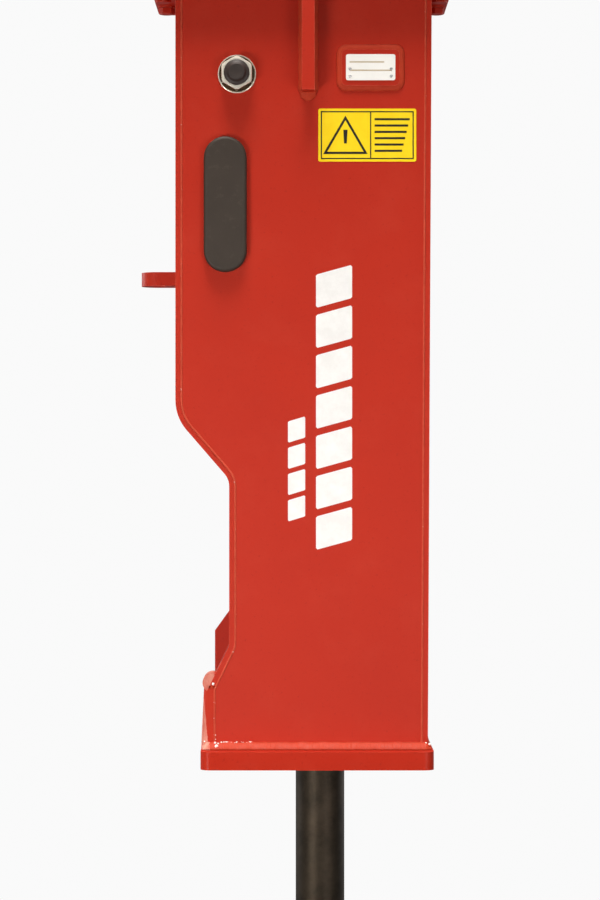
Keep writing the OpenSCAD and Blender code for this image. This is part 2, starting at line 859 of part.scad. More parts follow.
module through_bolt_nuts() {
    low = back_head_top - tie_washer_t;
    color(machined) for (s = tie_spots) translate(s) difference() {
        translate([0, 0, -low]) hex(tie_nut_af, tie_nut_h);
        post(tie_d / 2 + guide_gap, low + eps, low - tie_nut_h - eps);
    }
}

module seal_retainer() {
    color(bronze) difference() {
        tube(retainer_r, gas_guide_r, retainer_low_z, joint_high_z);
        post(gas_guide_r + seal_depth, gas_seal_z, gas_seal_z - seal_h);
    }
}

module gas_seal() {
    color(seal_tone) tube(gas_guide_r + seal_depth, gas_guide_r, gas_seal_z, gas_seal_z - seal_h);
}

module piston_seals() {
    color(seal_tone) for (z = low_seals) tube(guide_r + seal_depth, guide_r, z, z - seal_h);
}

module dust_seal() {
    color(seal_tone) tube(seal_r - guide_gap, tool_d / 2 + tool_gap, head_bottom_z, head_bottom_z - seal_t);
}

module thrust_ring() {
    lip_top = strike_z - ring_lip_t;
    color(machined) difference() {
        post(bush_r, ring_bottom_z, joint_low_z);
        post(tool_d / 2 + tool_gap, ring_bottom_z + eps, strike_z);
        post(ring_lip_r, strike_z + eps, lip_top - eps);
        post(groove_r, lip_top, joint_low_z - eps);
    }
}

module lower_bush() {
    color(machined) difference() {
        tube(bush_r, tool_d / 2 + tool_gap, head_bottom_z, bush_top_z);
        post(seal_r, head_bottom_z + eps, head_bottom_z - seal_t);
        for (y = [-bush_r, bush_r]) translate([0, y, -bush_pin_z])
            rod_x(bush_pin_r + guide_gap, -bush_r, bush_r);
    }
}

module bush_pins() {
    color(machined) for (y = [-bush_r, bush_r]) translate([0, y, -bush_pin_z])
        rod_x(bush_pin_r, -44, half_cell - 4);
}

module retaining_pins() {
    color(machined) difference() {
        for (y = [-keeper_y, keeper_y]) translate([0, y, -keeper_z])
            rod_x(keeper_d / 2, -keeper_back_x, keeper_front_x);
        for (s = [0, 180]) translate([stopper_x, 0, -keeper_z]) rotate([0, 0, s])
            rod_y(stopper_r + guide_gap, stopper_in_y, keeper_y + keeper_d);
    }
}

module pin_stoppers() {
    color(machined) for (s = [0, 180]) translate([stopper_x, 0, -keeper_z]) rotate([0, 0, s])
        rod_y(stopper_r, stopper_in_y, half_cell - 2);
}

module grease_nipple() {
    color(machined) translate([0, 0, -nipple_z]) {
        rod_x(nipple_r, half_cell - 12, half_cell);
        translate([half_cell, 0, 0]) rotate([0, 90, 0]) hex(14, 7);
        rod_x(3.2, half_cell + 7, half_cell + 16);
        translate([half_cell + 16, 0, 0]) sphere(4.2, $fn = 24);
    }
}

module valve_housing() {
    edge = 12;
    half = valve_w / 2;
    color(forged) difference() {
        translate([0, 0, -valve_low]) linear_extrude(valve_low - valve_top) polygon([
            [-half_cell, -half], [-half_cell, half], [-valve_x + edge, half],
            [-valve_x, half - edge], [-valve_x, -half + edge], [-valve_x + edge, -half]
        ]);
        translate([-spool_x, 0]) post(sleeve_r + guide_gap, valve_low + eps, sleeve_top);
        translate([-spool_x, 0]) post(spool_d / 2 - 4, sleeve_top + eps, sleeve_top - 40);
        for (s = [-1, 1]) {
            translate([0, s * port_pitch / 2, -port_z]) {
                rod_x(port_d / 2 + guide_gap, -valve_x - eps, -adapter_in_x);
                rod_x(feed_r, -adapter_in_x - eps, -spool_x + feed_r);
            }
        }
        translate([-spool_x, port_pitch / 2]) post(feed_r, feed_zs[0], port_z);
        translate([-spool_x, -port_pitch / 2]) post(feed_r, feed_zs[1], port_z);
        translate([-spool_x, 0, -feed_zs[0]]) rod_y(drill_r, sleeve_r - 3, port_pitch / 2);
        translate([-spool_x, 0, -feed_zs[1]]) rod_y(drill_r, -port_pitch / 2, -sleeve_r + 3);
        for (z = feed_zs) translate([0, 0, -z]) rod_x(drill_r, -spool_x + sleeve_r - 3, -half_cell + eps);
        for (y = [-valve_bolt_y, valve_bolt_y]) for (z = valve_bolt_zs) translate([0, y, -z]) {
            rod_x(valve_bolt_r + 0.5, -valve_x - eps, -half_cell + eps);
            rod_x(valve_bolt_head_r + 0.5, -valve_x - eps, -valve_x + valve_bolt_head_h);
        }
        translate([-spool_x, 0, -adjuster_z]) rod_y(12 + guide_gap, -half - eps, -half + 20);
        cap_spots() post(cap_bolt_r + guide_gap, valve_low + eps, valve_low - 30);
    }
}

module cap_spots() {
    for (x = [-1, 1]) for (y = [-1, 1]) translate([-spool_x + x * cap_bolt_dx, y * cap_bolt_dy]) children();
}

module valve_sleeve() {
    color(machined) translate([-spool_x, 0]) difference() {
        tube(sleeve_r, spool_d / 2 + guide_gap, sleeve_low, sleeve_top);
        for (z = feed_zs) translate([0, 0, -z]) rod_x(drill_r - 1, -sleeve_r - eps, sleeve_r + eps);
        for (z = feed_zs) translate([0, 0, -z]) rod_y(drill_r - 1, -sleeve_r - eps, sleeve_r + eps);
    }
}

module valve_cap() {
    cap_half_y = 52;
    color(forged) difference() {
        union() {
            translate([-valve_x, -cap_half_y, -valve_low - cap_t])
                cube([valve_x - half_cell, 2 * cap_half_y, cap_t]);
            translate([-spool_x, 0]) post(sleeve_r, valve_low, sleeve_low);
        }
        cap_spots() post(cap_bolt_r + 0.5, valve_low + cap_t + eps, valve_low - eps);
    }
}

module valve_cap_bolts() {
    head_h = 12;
    head_r = 9;
    low = valve_low + cap_t;
    color(machined) cap_spots() {
        post(cap_bolt_r, low, valve_low - 28);
        post(head_r, low + head_h, low);
    }
}

module valve_bolts() {
    head_in = -valve_x + valve_bolt_head_h;
    color(machined) for (y = [-valve_bolt_y, valve_bolt_y]) for (z = valve_bolt_zs) translate([0, y, -z]) {
        rod_x(valve_bolt_r, head_in - eps, -valve_bolt_end_x);
        rod_x(valve_bolt_head_r, -valve_x, head_in);
    }
}

module valve_adjuster() {
    half = valve_w / 2;
    color(machined) translate([-spool_x, 0, -adjuster_z]) {
        rod_y(12, -half - 24, -half + 18);
        translate([0, -half, 0]) rotate([90, 0, 0]) hex(36, 12);
        translate([0, -half - 24, 0]) rotate([90, 0, 0]) hex(17, 12);
    }
}

// A hose adapter facing -X: screwed into the valve housing, with a hexagon and a threaded outer end
module adapter(y) {
    hex_x = 250;
    translate([0, y, -port_z]) difference() {
        union() {
            rod_x(port_d / 2, -valve_x, -adapter_in_x - 2);
            translate([-hex_x, 0, 0]) rotate([0, 90, 0]) hex(adapter_hex_af, hex_x - valve_x);
            rod_x(port_d / 2, -adapter_tip_x, -hex_x);
        }
        rod_x(feed_r + 2, -adapter_tip_x - eps, -adapter_in_x + eps);
    }
}

module pressure_adapter() {
    color(zinc) adapter(port_pitch / 2);
}

module return_adapter() {
    color(zinc) adapter(-port_pitch / 2);
}

module piston() {
    top = strike_z - piston_len;
    color(machined) union() {
        post(strike_d / 2, strike_z, lower_land[0]);
        post(land_d / 2, lower_land[0], lower_land[1]);
        post(waist_d / 2, lower_land[1], upper_land[0]);
        post(land_d / 2, upper_land[0], upper_land[1]);
        post(gas_rod_d / 2, upper_land[1], top);
    }
}

module tool() {
    notch_top = keeper_top() + tool_gap;
    tip_r = 5;
    head_chamfer = 6;
    color(dark_steel) difference() {
        union() {
            translate([0, 0, tool_top - tool_len]) cylinder(h = point_len, r1 = tip_r, r2 = tool_d / 2);
            translate([0, 0, tool_top - tool_len + point_len])
                cylinder(h = tool_len - point_len - head_chamfer, d = tool_d);
            translate([0, 0, tool_top - head_chamfer])
                cylinder(h = head_chamfer, r1 = tool_d / 2, r2 = tool_d / 2 - head_chamfer);
        }
        for (s = [-1, 1]) translate([-tool_d, s > 0 ? notch_half_y : -tool_d, notch_top - notch_len])
            cube([2 * tool_d, tool_d - notch_half_y, notch_len]);
    }
}

module valve_spool() {
    low = sleeve_low - spool_end_gap;
    color(machined) translate([-spool_x, 0]) difference() {
        post(spool_d / 2, low, low - spool_len);
        tube(spool_d, spool_neck_d / 2, feed_zs[0] + 9, feed_zs[0] - 15);
        tube(spool_d, spool_neck_d / 2, feed_zs[1] + 8, feed_zs[1] - 20);
    }
}

right_side_plate();
left_side_plate();
back_plate();
front_plate();
bottom_plate();
housing_flange();
top_plate();
flange_ribs();
foot_plate();
foot_rib();
guard_bar();
lifting_lug();
flange_bolts();
flange_washers();
nameplate_pad();
nameplate();
nameplate_rivets();
warning_label();
right_cover();
left_cover();
access_plugs();
cross_bolt();
cross_bolt_spacer();
cross_bolt_nuts();
cross_bolt_caps();
upper_damper();
lower_damper();
side_dampers();
back_head();
gas_valve();
cylinder_body();  // cylinder
front_head();
through_bolts();
through_bolt_nuts();
through_bolt_washers();
seal_retainer();
gas_seal();
piston_seals();
dust_seal();
thrust_ring();
lower_bush();
bush_pins();
retaining_pins();
pin_stoppers();
grease_nipple();
valve_housing();
valve_sleeve();
valve_cap();
valve_cap_bolts();
valve_bolts();
valve_adjuster();
pressure_adapter();
return_adapter();
piston();
tool();
valve_spool();
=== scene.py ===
import json
import math
import random

import bmesh
import bpy
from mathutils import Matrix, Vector, noise


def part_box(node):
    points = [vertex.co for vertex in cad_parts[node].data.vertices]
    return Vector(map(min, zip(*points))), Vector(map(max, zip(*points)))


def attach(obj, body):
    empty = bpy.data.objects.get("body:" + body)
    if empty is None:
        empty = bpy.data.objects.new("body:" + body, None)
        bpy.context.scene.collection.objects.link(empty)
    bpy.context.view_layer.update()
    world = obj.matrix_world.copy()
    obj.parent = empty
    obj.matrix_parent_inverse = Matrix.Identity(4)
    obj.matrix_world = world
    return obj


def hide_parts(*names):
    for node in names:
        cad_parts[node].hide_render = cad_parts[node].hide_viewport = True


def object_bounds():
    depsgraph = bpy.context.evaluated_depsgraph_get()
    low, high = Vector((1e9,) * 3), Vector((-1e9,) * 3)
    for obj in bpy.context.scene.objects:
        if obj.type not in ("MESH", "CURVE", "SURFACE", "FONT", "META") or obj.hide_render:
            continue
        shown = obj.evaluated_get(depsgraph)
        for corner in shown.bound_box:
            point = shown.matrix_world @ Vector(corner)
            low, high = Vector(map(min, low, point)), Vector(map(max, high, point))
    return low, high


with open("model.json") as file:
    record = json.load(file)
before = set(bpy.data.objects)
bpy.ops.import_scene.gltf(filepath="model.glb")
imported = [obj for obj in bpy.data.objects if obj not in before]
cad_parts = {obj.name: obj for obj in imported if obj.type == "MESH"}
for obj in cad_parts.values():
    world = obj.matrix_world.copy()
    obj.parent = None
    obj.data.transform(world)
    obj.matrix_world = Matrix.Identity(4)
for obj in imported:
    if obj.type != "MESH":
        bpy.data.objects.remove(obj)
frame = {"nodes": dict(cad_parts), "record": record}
cad_low, cad_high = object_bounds()
NODES = frame["nodes"]
MM = 0.001


# ---------------------------------------------------------------- camera

LENS_MM, SENSOR_MM = 101.0, 36.0
CAMERA_X, CAMERA_Z, CAMERA_BACK = -41.2 * MM, -1008 * MM, 5.0
right_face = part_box("right_side_plate")[0].y
camera_data = bpy.data.cameras.new("camera")
camera_data.lens = LENS_MM
camera_data.sensor_width = SENSOR_MM
camera = bpy.data.objects.new("camera", camera_data)
camera.location = (CAMERA_X, right_face - CAMERA_BACK, CAMERA_Z)
camera.rotation_euler = (math.radians(90), 0, 0)
bpy.context.collection.objects.link(camera)
bpy.context.scene.camera = camera
bpy.context.scene.view_settings.view_transform = "Standard"


# ---------------------------------------------------------------- materials

class Shader:
    """A Principled material with short helpers for the procedural nodes that feed it."""

    def __init__(self, name):
        self.material = bpy.data.materials.new(name)
        self.material.use_nodes = True
        self.tree = self.material.node_tree
        self.bsdf = self.tree.nodes["Principled BSDF"]
        self.place = self.add("ShaderNodeTexCoord").outputs["Object"]
        self.heights = []

    def add(self, kind, **values):
        node = self.tree.nodes.new(kind)
        for key, value in values.items():
            setattr(node, key, value)
        return node

    def link(self, source, target):
        self.tree.links.new(source, target)

    def noise(self, scale, detail=3.0, roughness=0.55, stretch=None):
        node = self.add("ShaderNodeTexNoise")
        node.inputs["Scale"].default_value = scale
        node.inputs["Detail"].default_value = detail
        node.inputs["Roughness"].default_value = roughness
        source = self.place
        if stretch:
            mapping = self.add("ShaderNodeMapping")
            mapping.inputs["Scale"].default_value = stretch
            self.link(source, mapping.inputs["Vector"])
            source = mapping.outputs["Vector"]
        self.link(source, node.inputs["Vector"])
        return node.outputs["Fac"]

    def ramp(self, source, stops):
        node = self.add("ShaderNodeValToRGB")
        ramp = node.color_ramp
        while len(ramp.elements) < len(stops):
            ramp.elements.new(0.5)
        for element, (at, value) in zip(ramp.elements, stops):
            element.position = at
            element.color = (value, value, value, 1) if isinstance(value, (int, float)) else (*value, 1)
        self.link(source, node.inputs["Fac"])
        return node.outputs["Color"]

    def mix(self, factor, a, b):
        node = self.add("ShaderNodeMix", data_type="RGBA")
        self.link(factor, node.inputs["Factor"])
        for value, socket in ((a, node.inputs[6]), (b, node.inputs[7])):
            if isinstance(value, tuple):
                socket.default_value = (*value, 1)
            else:
                self.link(value, socket)
        return node.outputs[2]

    def edges(self, radius, low, high):
        """White where the surface is within a radius of an edge, from how far a rounded normal leans."""
        bevel = self.add("ShaderNodeBevel", samples=4)
        bevel.inputs["Radius"].default_value = radius
        flat = self.add("ShaderNodeNewGeometry")
        dot = self.add("ShaderNodeVectorMath", operation="DOT_PRODUCT")
        self.link(bevel.outputs["Normal"], dot.inputs[0])
        self.link(flat.outputs["Normal"], dot.inputs[1])
        return self.ramp(dot.outputs["Value"], [(low, 1.0), (high, 0.0)])

    def compute(self, operation, a, b=None):
        """A sum worked out for each point, whose second term may be a constant or missing."""
        node = self.add("ShaderNodeMath", operation=operation)
        self.link(a, node.inputs[0])
        if isinstance(b, float):
            node.inputs[1].default_value = b
        elif b is not None:
            self.link(b, node.inputs[1])
        return node.outputs["Value"]

    def vector(self, operation, a, constant, result="Vector"):
        """A vector sum with a constant, or the length of a vector when the constant is None."""
        node = self.add("ShaderNodeVectorMath", operation=operation)
        self.link(a, node.inputs[0])
        if constant:
            node.inputs[1].default_value = constant
        return node.outputs[result]

    def span(self, source, start, end, low=0.0, high=1.0):
        """A value that goes from low to high while the source goes from start to end."""
        node = self.add("ShaderNodeMapRange")
        node.inputs["From Min"].default_value = start
        node.inputs["From Max"].default_value = end
        node.inputs["To Min"].default_value = low
        node.inputs["To Max"].default_value = high
        self.link(source, node.inputs["Value"])
        return node.outputs["Result"]

    def colour(self, source):
        self.link(source, self.bsdf.inputs["Base Color"])

    def rough(self, source, low, high):
        self.link(self.span(source, 0.0, 1.0, low, high), self.bsdf.inputs["Roughness"])

    def bump(self, source, distance, strength=1.0):
        self.heights.append((source, distance, strength))

    def done(self, **constants):
        for name, value in constants.items():
            self.bsdf.inputs[name.replace("_", " ")].default_value = value
        normal = None
        for source, distance, strength in self.heights:
            node = self.add("ShaderNodeBump")
            node.inputs["Distance"].default_value = distance
            node.inputs["Strength"].default_value = strength
            self.link(source, node.inputs["Height"])
            if normal:
                self.link(normal, node.inputs["Normal"])
            normal = node.outputs["Normal"]
        if normal:
            self.link(normal, self.bsdf.inputs["Normal"])
        return self.material


def paint(name, edge_wear_and_highlight, shine=0.22, low=0.42, high=0.60):
    """Thick red enamel over plate: cloudy tone, orange peel, dust, and paler edges that are partly rubbed
    wear and partly a painted highlight.
    """
    s = Shader(name)
    tone = s.mix(s.noise(5.0, 4.0, 0.6), (0.422, 0.0172, 0.0050), (0.484, 0.0230, 0.0066))
    dust = s.ramp(s.noise(11.0, 6.0, 0.65), [(0.50, 0.0), (0.80, 0.35)])
    dusty = s.mix(dust, tone, (0.500, 0.038, 0.0165))
    pits = s.ramp(s.noise(150.0, 5.0, 0.7), [(0.30, 1.0), (0.42, 0.0)])
    grain = s.mix(pits, dusty, (0.360, 0.015, 0.005))
    uneven = s.ramp(s.noise(38.0, 5.0, 0.7), [(0.40, 0.15), (0.62, edge_wear_and_highlight)])
    # Paler edges: partly rubbed paint, partly a painted highlight along every edge
    rub_and_highlight = s.compute("MULTIPLY", s.edges(2.2 * MM, 0.90, 0.995), uneven)
    s.colour(s.mix(rub_and_highlight, grain, (0.700, 0.130, 0.080)))
    s.rough(s.noise(24.0, 4.0, 0.6), low, high)
    s.bump(s.noise(420.0, 2.0, 0.5), 0.25 * MM, 0.35)
    s.bump(s.noise(9.0, 2.0, 0.5), 1.6 * MM, 0.25)
    return s.done(Specular_IOR_Level=shine, Coat_Weight=shine / 3, Coat_Roughness=0.2)


def scoured_and_sheen_paint(name, start, end, lean=0.0, dark=(0.440, 0.021, 0.007), light=(0.510, 0.029, 0.011)):
    """The same enamel, pinkish and streaked beyond an X that may lean with Z: partly wear from scouring by
    the ground, partly a painted reflection of the pale surroundings.
    """
    s = Shader(name)
    tone = s.mix(s.noise(9.0, 4.0, 0.6), dark, light)
    across = s.vector("DOT_PRODUCT", s.place, (1.0, 0.0, lean), "Value")
    ragged = s.compute("ADD", s.span(across, start, end), s.noise(110.0, 5.0, 0.75, (1.0, 1.0, 0.35)))
    reached = s.ramp(ragged, [(0.86, 0.0), (0.98, 0.9)])
    patches = s.ramp(s.noise(16.0, 6.0, 0.65, (1.0, 1.0, 0.5)), [(0.40, 1.0), (0.62, 0.25)])
    scour_and_sheen_mask = s.compute("MULTIPLY", reached, patches)
    pale = s.mix(s.noise(90.0, 5.0, 0.7, (1.0, 1.0, 0.3)), (0.600, 0.150, 0.090), (0.840, 0.520, 0.420))
    # Beyond the X the pale pinkish colour is partly scouring wear and partly a painted reflection of the pale
    # surroundings
    s.colour(s.mix(scour_and_sheen_mask, tone, pale))
    s.rough(s.noise(40.0, 4.0, 0.6), 0.40, 0.62)
    s.bump(s.noise(160.0, 4.0, 0.6), 0.5 * MM, 0.4)
    return s.done(Specular_IOR_Level=0.16)


def weld_paint(name, chipped, dark=(0.430, 0.030, 0.010), light=(0.530, 0.054, 0.021)):
    """The same enamel over weld metal: paler, spattered, and chipped to bare metal here and there."""
    s = Shader(name)
    tone = s.mix(s.noise(60.0, 4.0, 0.6), dark, light)
    chips = s.ramp(s.noise(95.0, 4.0, 0.75), [(chipped, 0.0), (chipped + 0.03, 1.0)])
    s.colour(s.mix(chips, tone, (0.80, 0.66, 0.58)))
    s.rough(s.noise(80.0, 3.0, 0.6), 0.55, 0.75)
    s.bump(s.noise(330.0, 4.0, 0.6), 0.4 * MM, 0.4)
    return s.done(Specular_IOR_Level=0.16)


def metal(name, dark, light, low, high, metallic, scale=40.0, stretch=None, tint=None):
    """Bare or plated metal: mottled tone, uneven gloss and a fine machined or plated grain."""
    s = Shader(name)
    tone = s.mix(s.noise(scale, 5.0, 0.65), dark, light)
    if tint:
        tone = s.mix(s.ramp(s.noise(scale * 0.45, 4.0, 0.6), [(0.48, 0.0), (0.70, 0.8)]), tone, tint)
    s.colour(tone)
    s.rough(s.noise(scale * 1.7, 4.0, 0.6, stretch), low, high)
    s.bump(s.noise(scale * 8.0, 3.0, 0.6, stretch), 0.15 * MM, 0.5)
    return s.done(Metallic=metallic)


def plated_nut(name, axis_at, rim_from, face_from):
    """Zinc with a painted highlight on the rim and the end face, and painted shade on the flats and in the
    groove.
    """
    s = Shader(name)
    offset = s.vector("SUBTRACT", s.place, axis_at)
    reach = s.vector("LENGTH", s.vector("MULTIPLY", offset, (1.0, 0.0, 1.0)), None, "Value")
    parts = s.add("ShaderNodeSeparateXYZ")
    s.link(offset, parts.inputs["Vector"])
    face = s.span(s.compute("ABSOLUTE", parts.outputs["Y"]), face_from, face_from + 0.5 * MM)
    # The rim and end face carry a painted highlight, the flats and the groove painted shade, with less
    # metallic sheen where it is dark
    lit_rim_and_face = s.compute("MAXIMUM", s.compute("GREATER_THAN", reach, rim_from), face)
    painted_highlight = s.mix(s.noise(70.0, 5.0, 0.65), (0.80, 0.74, 0.58), (0.98, 0.95, 0.86))
    painted_shade = s.mix(s.noise(120.0, 5.0, 0.7), (0.090, 0.060, 0.036), (0.330, 0.230, 0.130))
    s.colour(s.mix(lit_rim_and_face, painted_shade, painted_highlight))
    s.link(s.span(lit_rim_and_face, 0.0, 1.0, 0.95, 0.35), s.bsdf.inputs["Metallic"])
    s.rough(s.noise(90.0, 4.0, 0.6), 0.14, 0.30)
    s.bump(s.noise(240.0, 4.0, 0.6), 0.12 * MM, 0.4)
    return s.done()


def tool_steel(name):
    """Blackened, oiled forged steel with brownish blotches and faint lathe lines."""
    s = Shader(name)
    blotch = s.ramp(s.noise(26.0, 6.0, 0.7), [(0.35, 0.0), (0.68, 1.0)])
    tone = s.mix(blotch, (0.022, 0.016, 0.010), (0.048, 0.036, 0.024))
    rusty = s.ramp(s.noise(9.0, 5.0, 0.6), [(0.55, 0.0), (0.75, 0.6)])
    s.colour(s.mix(rusty, tone, (0.066, 0.047, 0.031)))
    s.rough(s.noise(30.0, 5.0, 0.65), 0.42, 0.62)
    s.bump(s.noise(140.0, 4.0, 0.6), 0.5 * MM, 0.35)
    s.bump(s.noise(60.0, 2.0, 0.5, (0.2, 0.2, 14.0)), 0.12 * MM, 0.4)
    return s.done(Metallic=0.75, Specular_IOR_Level=0.4)


def soft_black(name, dark, light, low, high):
    """Moulded rubber, plastic or polyurethane: cloudy tone, pale dust and a fine mould grain."""
    s = Shader(name)
    tone = s.mix(s.noise(18.0, 4.0, 0.6), dark, light)
    dust = s.ramp(s.noise(70.0, 6.0, 0.7), [(0.56, 0.0), (0.80, 0.28)])
    pale = tuple(min(1.0, 2.2 * c + 0.02) for c in light)
    s.colour(s.mix(dust, tone, pale))
    s.rough(s.noise(45.0, 4.0, 0.6), low, high)
    s.bump(s.noise(260.0, 3.0, 0.6), 0.3 * MM, 0.4)
    return s.done(Specular_IOR_Level=0.38)


def print_ink(name, dark, light, low=0.35, high=0.5):
    """Printed film or lacquered sheet: nearly even tone with slight fading and rubbing."""
    s = Shader(name)
    s.colour(s.mix(s.ramp(s.noise(30.0, 6.0, 0.7), [(0.40, 0.0), (0.75, 1.0)]), dark, light))
    s.rough(s.noise(50.0, 4.0, 0.6), low, high)
    s.bump(s.noise(300.0, 2.0, 0.5), 0.08 * MM, 0.3)
    return s.done(Specular_IOR_Level=0.3)


MATERIALS = {
    "red_paint": paint("red_enamel", 0.85),
    "zinc_steel": metal("yellow_zinc", (0.66, 0.55, 0.37), (0.95, 0.86, 0.66), 0.10, 0.26, 1.0, 55.0,
                        tint=(0.78, 0.72, 0.66)),
    "bright_steel": metal("machined_steel", (0.48, 0.48, 0.49), (0.70, 0.70, 0.71), 0.20, 0.38, 1.0,
                          35.0, (1, 1, 9)),
    "forged_steel": metal("forged_steel", (0.09, 0.092, 0.10), (0.19, 0.19, 0.20), 0.38, 0.60, 0.8,
                          22.0, tint=(0.14, 0.10, 0.07)),
    "dark_steel": tool_steel("tool_steel"),
    "brown_rubber": soft_black("brown_rubber", (0.029, 0.020, 0.014), (0.045, 0.032, 0.023), 0.48, 0.66),
    "black_rubber": soft_black("black_rubber", (0.012, 0.012, 0.012), (0.030, 0.029, 0.028), 0.5, 0.7),
    "black_plastic": soft_black("black_plastic", (0.026, 0.018, 0.015), (0.042, 0.030, 0.026), 0.42, 0.58),
    "polyurethane": soft_black("polyurethane", (0.42, 0.27, 0.05), (0.56, 0.38, 0.08), 0.35, 0.5),
    "seal_blue": soft_black("seal_blue", (0.02, 0.04, 0.12), (0.03, 0.07, 0.18), 0.3, 0.45),
    "nameplate_white": print_ink("nameplate_white", (0.93, 0.92, 0.88), (0.98, 0.97, 0.93), 0.25, 0.4),
    "label_yellow": print_ink("label_yellow", (0.96, 0.66, 0.008), (1.00, 0.73, 0.014)),
    "bronze": metal("bronze", (0.42, 0.27, 0.10), (0.60, 0.42, 0.18), 0.25, 0.4, 1.0),
}
WELD = weld_paint("weld_enamel", 0.72)
# Paler tone than the other weld enamel: a painted highlight that lightens the seam beads as if lit
HIGHLIT_SEAM_PAINT = weld_paint("seam_enamel_painted_highlight", 0.66, (0.430, 0.030, 0.012), (0.600, 0.095, 0.050))
CHIPPED_WELD = weld_paint("chipped_weld_enamel", 0.64)
BARE_SPATTER = metal("bare_spatter", (0.80, 0.74, 0.70), (0.95, 0.92, 0.90), 0.30, 0.50, 0.2, 200.0)
WHITE_INK = print_ink("white_ink", (0.80, 0.79, 0.78), (0.90, 0.90, 0.89))
BLACK_INK = print_ink("black_ink", (0.012, 0.012, 0.012), (0.030, 0.028, 0.026))
TAN_INK = print_ink("tan_ink", (0.50, 0.40, 0.26), (0.62, 0.52, 0.36))


# ---------------------------------------------------------------- mesh helpers

def piece(name, verts, faces, slot, material, smooth=True):
    """A new piece of the housing, made from points in the row frame."""
    mesh = bpy.data.meshes.new(name)
    mesh.from_pydata([tuple(v) for v in verts], [], faces)
    mesh.validate()
    bm = bmesh.new()
    bm.from_mesh(mesh)
    bmesh.ops.recalc_face_normals(bm, faces=bm.faces)
    bm.to_mesh(mesh)
    bm.free()
    if smooth:
        mesh.shade_smooth()
    obj = bpy.data.objects.new(name, mesh)
    bpy.context.collection.objects.link(obj)
    mesh.materials.append(material)
    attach(obj, "housing")
    return obj


def bevel(obj, width, segments=2, angle=35.0):
    """Rounds an object's hard edges, as real plate and machined parts have."""
    mod = obj.modifiers.new("bevel", "BEVEL")
    mod.width = width
    mod.segments = segments
    mod.limit_method = "ANGLE"
    mod.angle_limit = math.radians(angle)
    mod.harden_normals = True
    mod.use_clamp_overlap = True
    return mod


def resample(path, step, closed):
    """Points along a path about a step apart."""
    points = list(path) + ([path[0]] if closed else [])
    lengths = [(b - a).length for a, b in zip(points, points[1:])]
    total = sum(lengths)
    count = max(2, round(total / step))
    out, i, gone = [], 0, 0.0
    for k in range(count if closed else count + 1):
        at = total * k / count
        while i < len(lengths) - 1 and gone + lengths[i] < at:
            gone += lengths[i]
            i += 1
        share = min(1.0, (at - gone) / lengths[i]) if lengths[i] else 0.0
        out.append(points[i].lerp(points[i + 1], share))
    return out


RIPPLE = 5.5 * MM
RING = 10


def bead(path, radius, up, closed=False, ripple=0.10, flat=0.0, seed=0.0, fine=1.4 * MM):
    """Verts and faces of a weld bead: a tube with overlapping ripples and an uneven toe."""
    path = resample([Vector(p) for p in path], fine, closed)
    up = Vector(up).normalized()
    verts, faces, gone = [], [], 0.0
    count = len(path)
    for k, p in enumerate(path):
        before = path[k - 1] if k or closed else p
        after = path[(k + 1) % count] if k < count - 1 or closed else p
        along = (after - before).normalized()
        if k:
            gone += (p - path[k - 1]).length
        side = along.cross(up).normalized()
        wander = noise.noise(Vector((gone * 45.0, seed, 0.0)))
        swell = 1.0 + 0.10 * wander
        ends = 1.0
        if not closed:
            ends = min(1.0, 0.35 + min(k, count - 1 - k) * fine / (1.2 * radius))
        for j in range(RING):
            phi = 2 * math.pi * j / RING
            phase = gone / RIPPLE + 0.45 * math.cos(phi) + 0.15 * wander
            scallop = 1.0 - ripple * (1.0 - abs(math.sin(math.pi * phase)))
            grain = 1.0 + 0.05 * noise.noise(p * 260.0 + Vector((seed, j, 0.0)))
            r = radius * swell * scallop * grain * ends
            verts.append(p + side * (r * math.cos(phi)) + up * (r * math.sin(phi) * (1.0 - flat)))
    last = count if closed else count - 1
    for k in range(last):
        for j in range(RING):
            a, b = k * RING + j, k * RING + (j + 1) % RING
            c, d = ((k + 1) % count) * RING + (j + 1) % RING, ((k + 1) % count) * RING + j
            faces.append((a, b, c, d))
    if not closed:
        faces.append(tuple(reversed(range(RING))))
        faces.append(tuple((count - 1) * RING + j for j in range(RING)))
    return verts, faces


def fillet(a, b, out, up, leg_out, leg_up, bulge=0.10, wobble=0.10, seed=0.0, step=1.6 * MM):
    """Verts and faces of a fillet weld in a corner: a sloping face, hollow if the bulge is negative."""
    a, b, out, up = (Vector(v) for v in (a, b, out, up))
    count = max(8, round((b - a).length / step))
    width = 8
    verts, faces = [], []
    for k in range(count + 1):
        gone = (b - a).length * k / count
        end = min(1.0, 0.55 + min(gone, (b - a).length - gone) / (1.5 * leg_up))
        toe_out = leg_out * end * (1.0 + wobble * noise.noise(Vector((gone * 60.0, seed, 0.0))))
        toe_up = leg_up * end * (1.0 + wobble * noise.noise(Vector((gone * 48.0, seed, 5.0))))
        lump = 0.05 * noise.noise(Vector((gone * 150.0, seed, 9.0)))
        middle_out = bulge + 0.025 * math.sin(2 * math.pi * gone / RIPPLE) + lump
        root = a.lerp(b, k / count)
        verts.append(root - out * MM - up * MM)
        for j in range(width):
            t = j / (width - 1)
            crown = middle_out * min(leg_out, leg_up) * math.sin(math.pi * t)
            verts.append(root + out * (toe_out * (1 - t) + crown * 0.7) + up * (toe_up * t + crown * 0.7))
    ring = width + 1
    for k in range(count):
        for j in range(ring):
            p, q = k * ring + j, k * ring + (j + 1) % ring
            faces.append((p, q, q + ring, p + ring))
    faces.append(tuple(reversed(range(ring))))
    faces.append(tuple(count * ring + j for j in range(ring)))
    return verts, faces


def join(parts):
    """Several (verts, faces) as one."""
    verts, faces = [], []
    for v, f in parts:
        base = len(verts)
        verts += v
        faces += [tuple(i + base for i in face) for face in f]
    return verts, faces


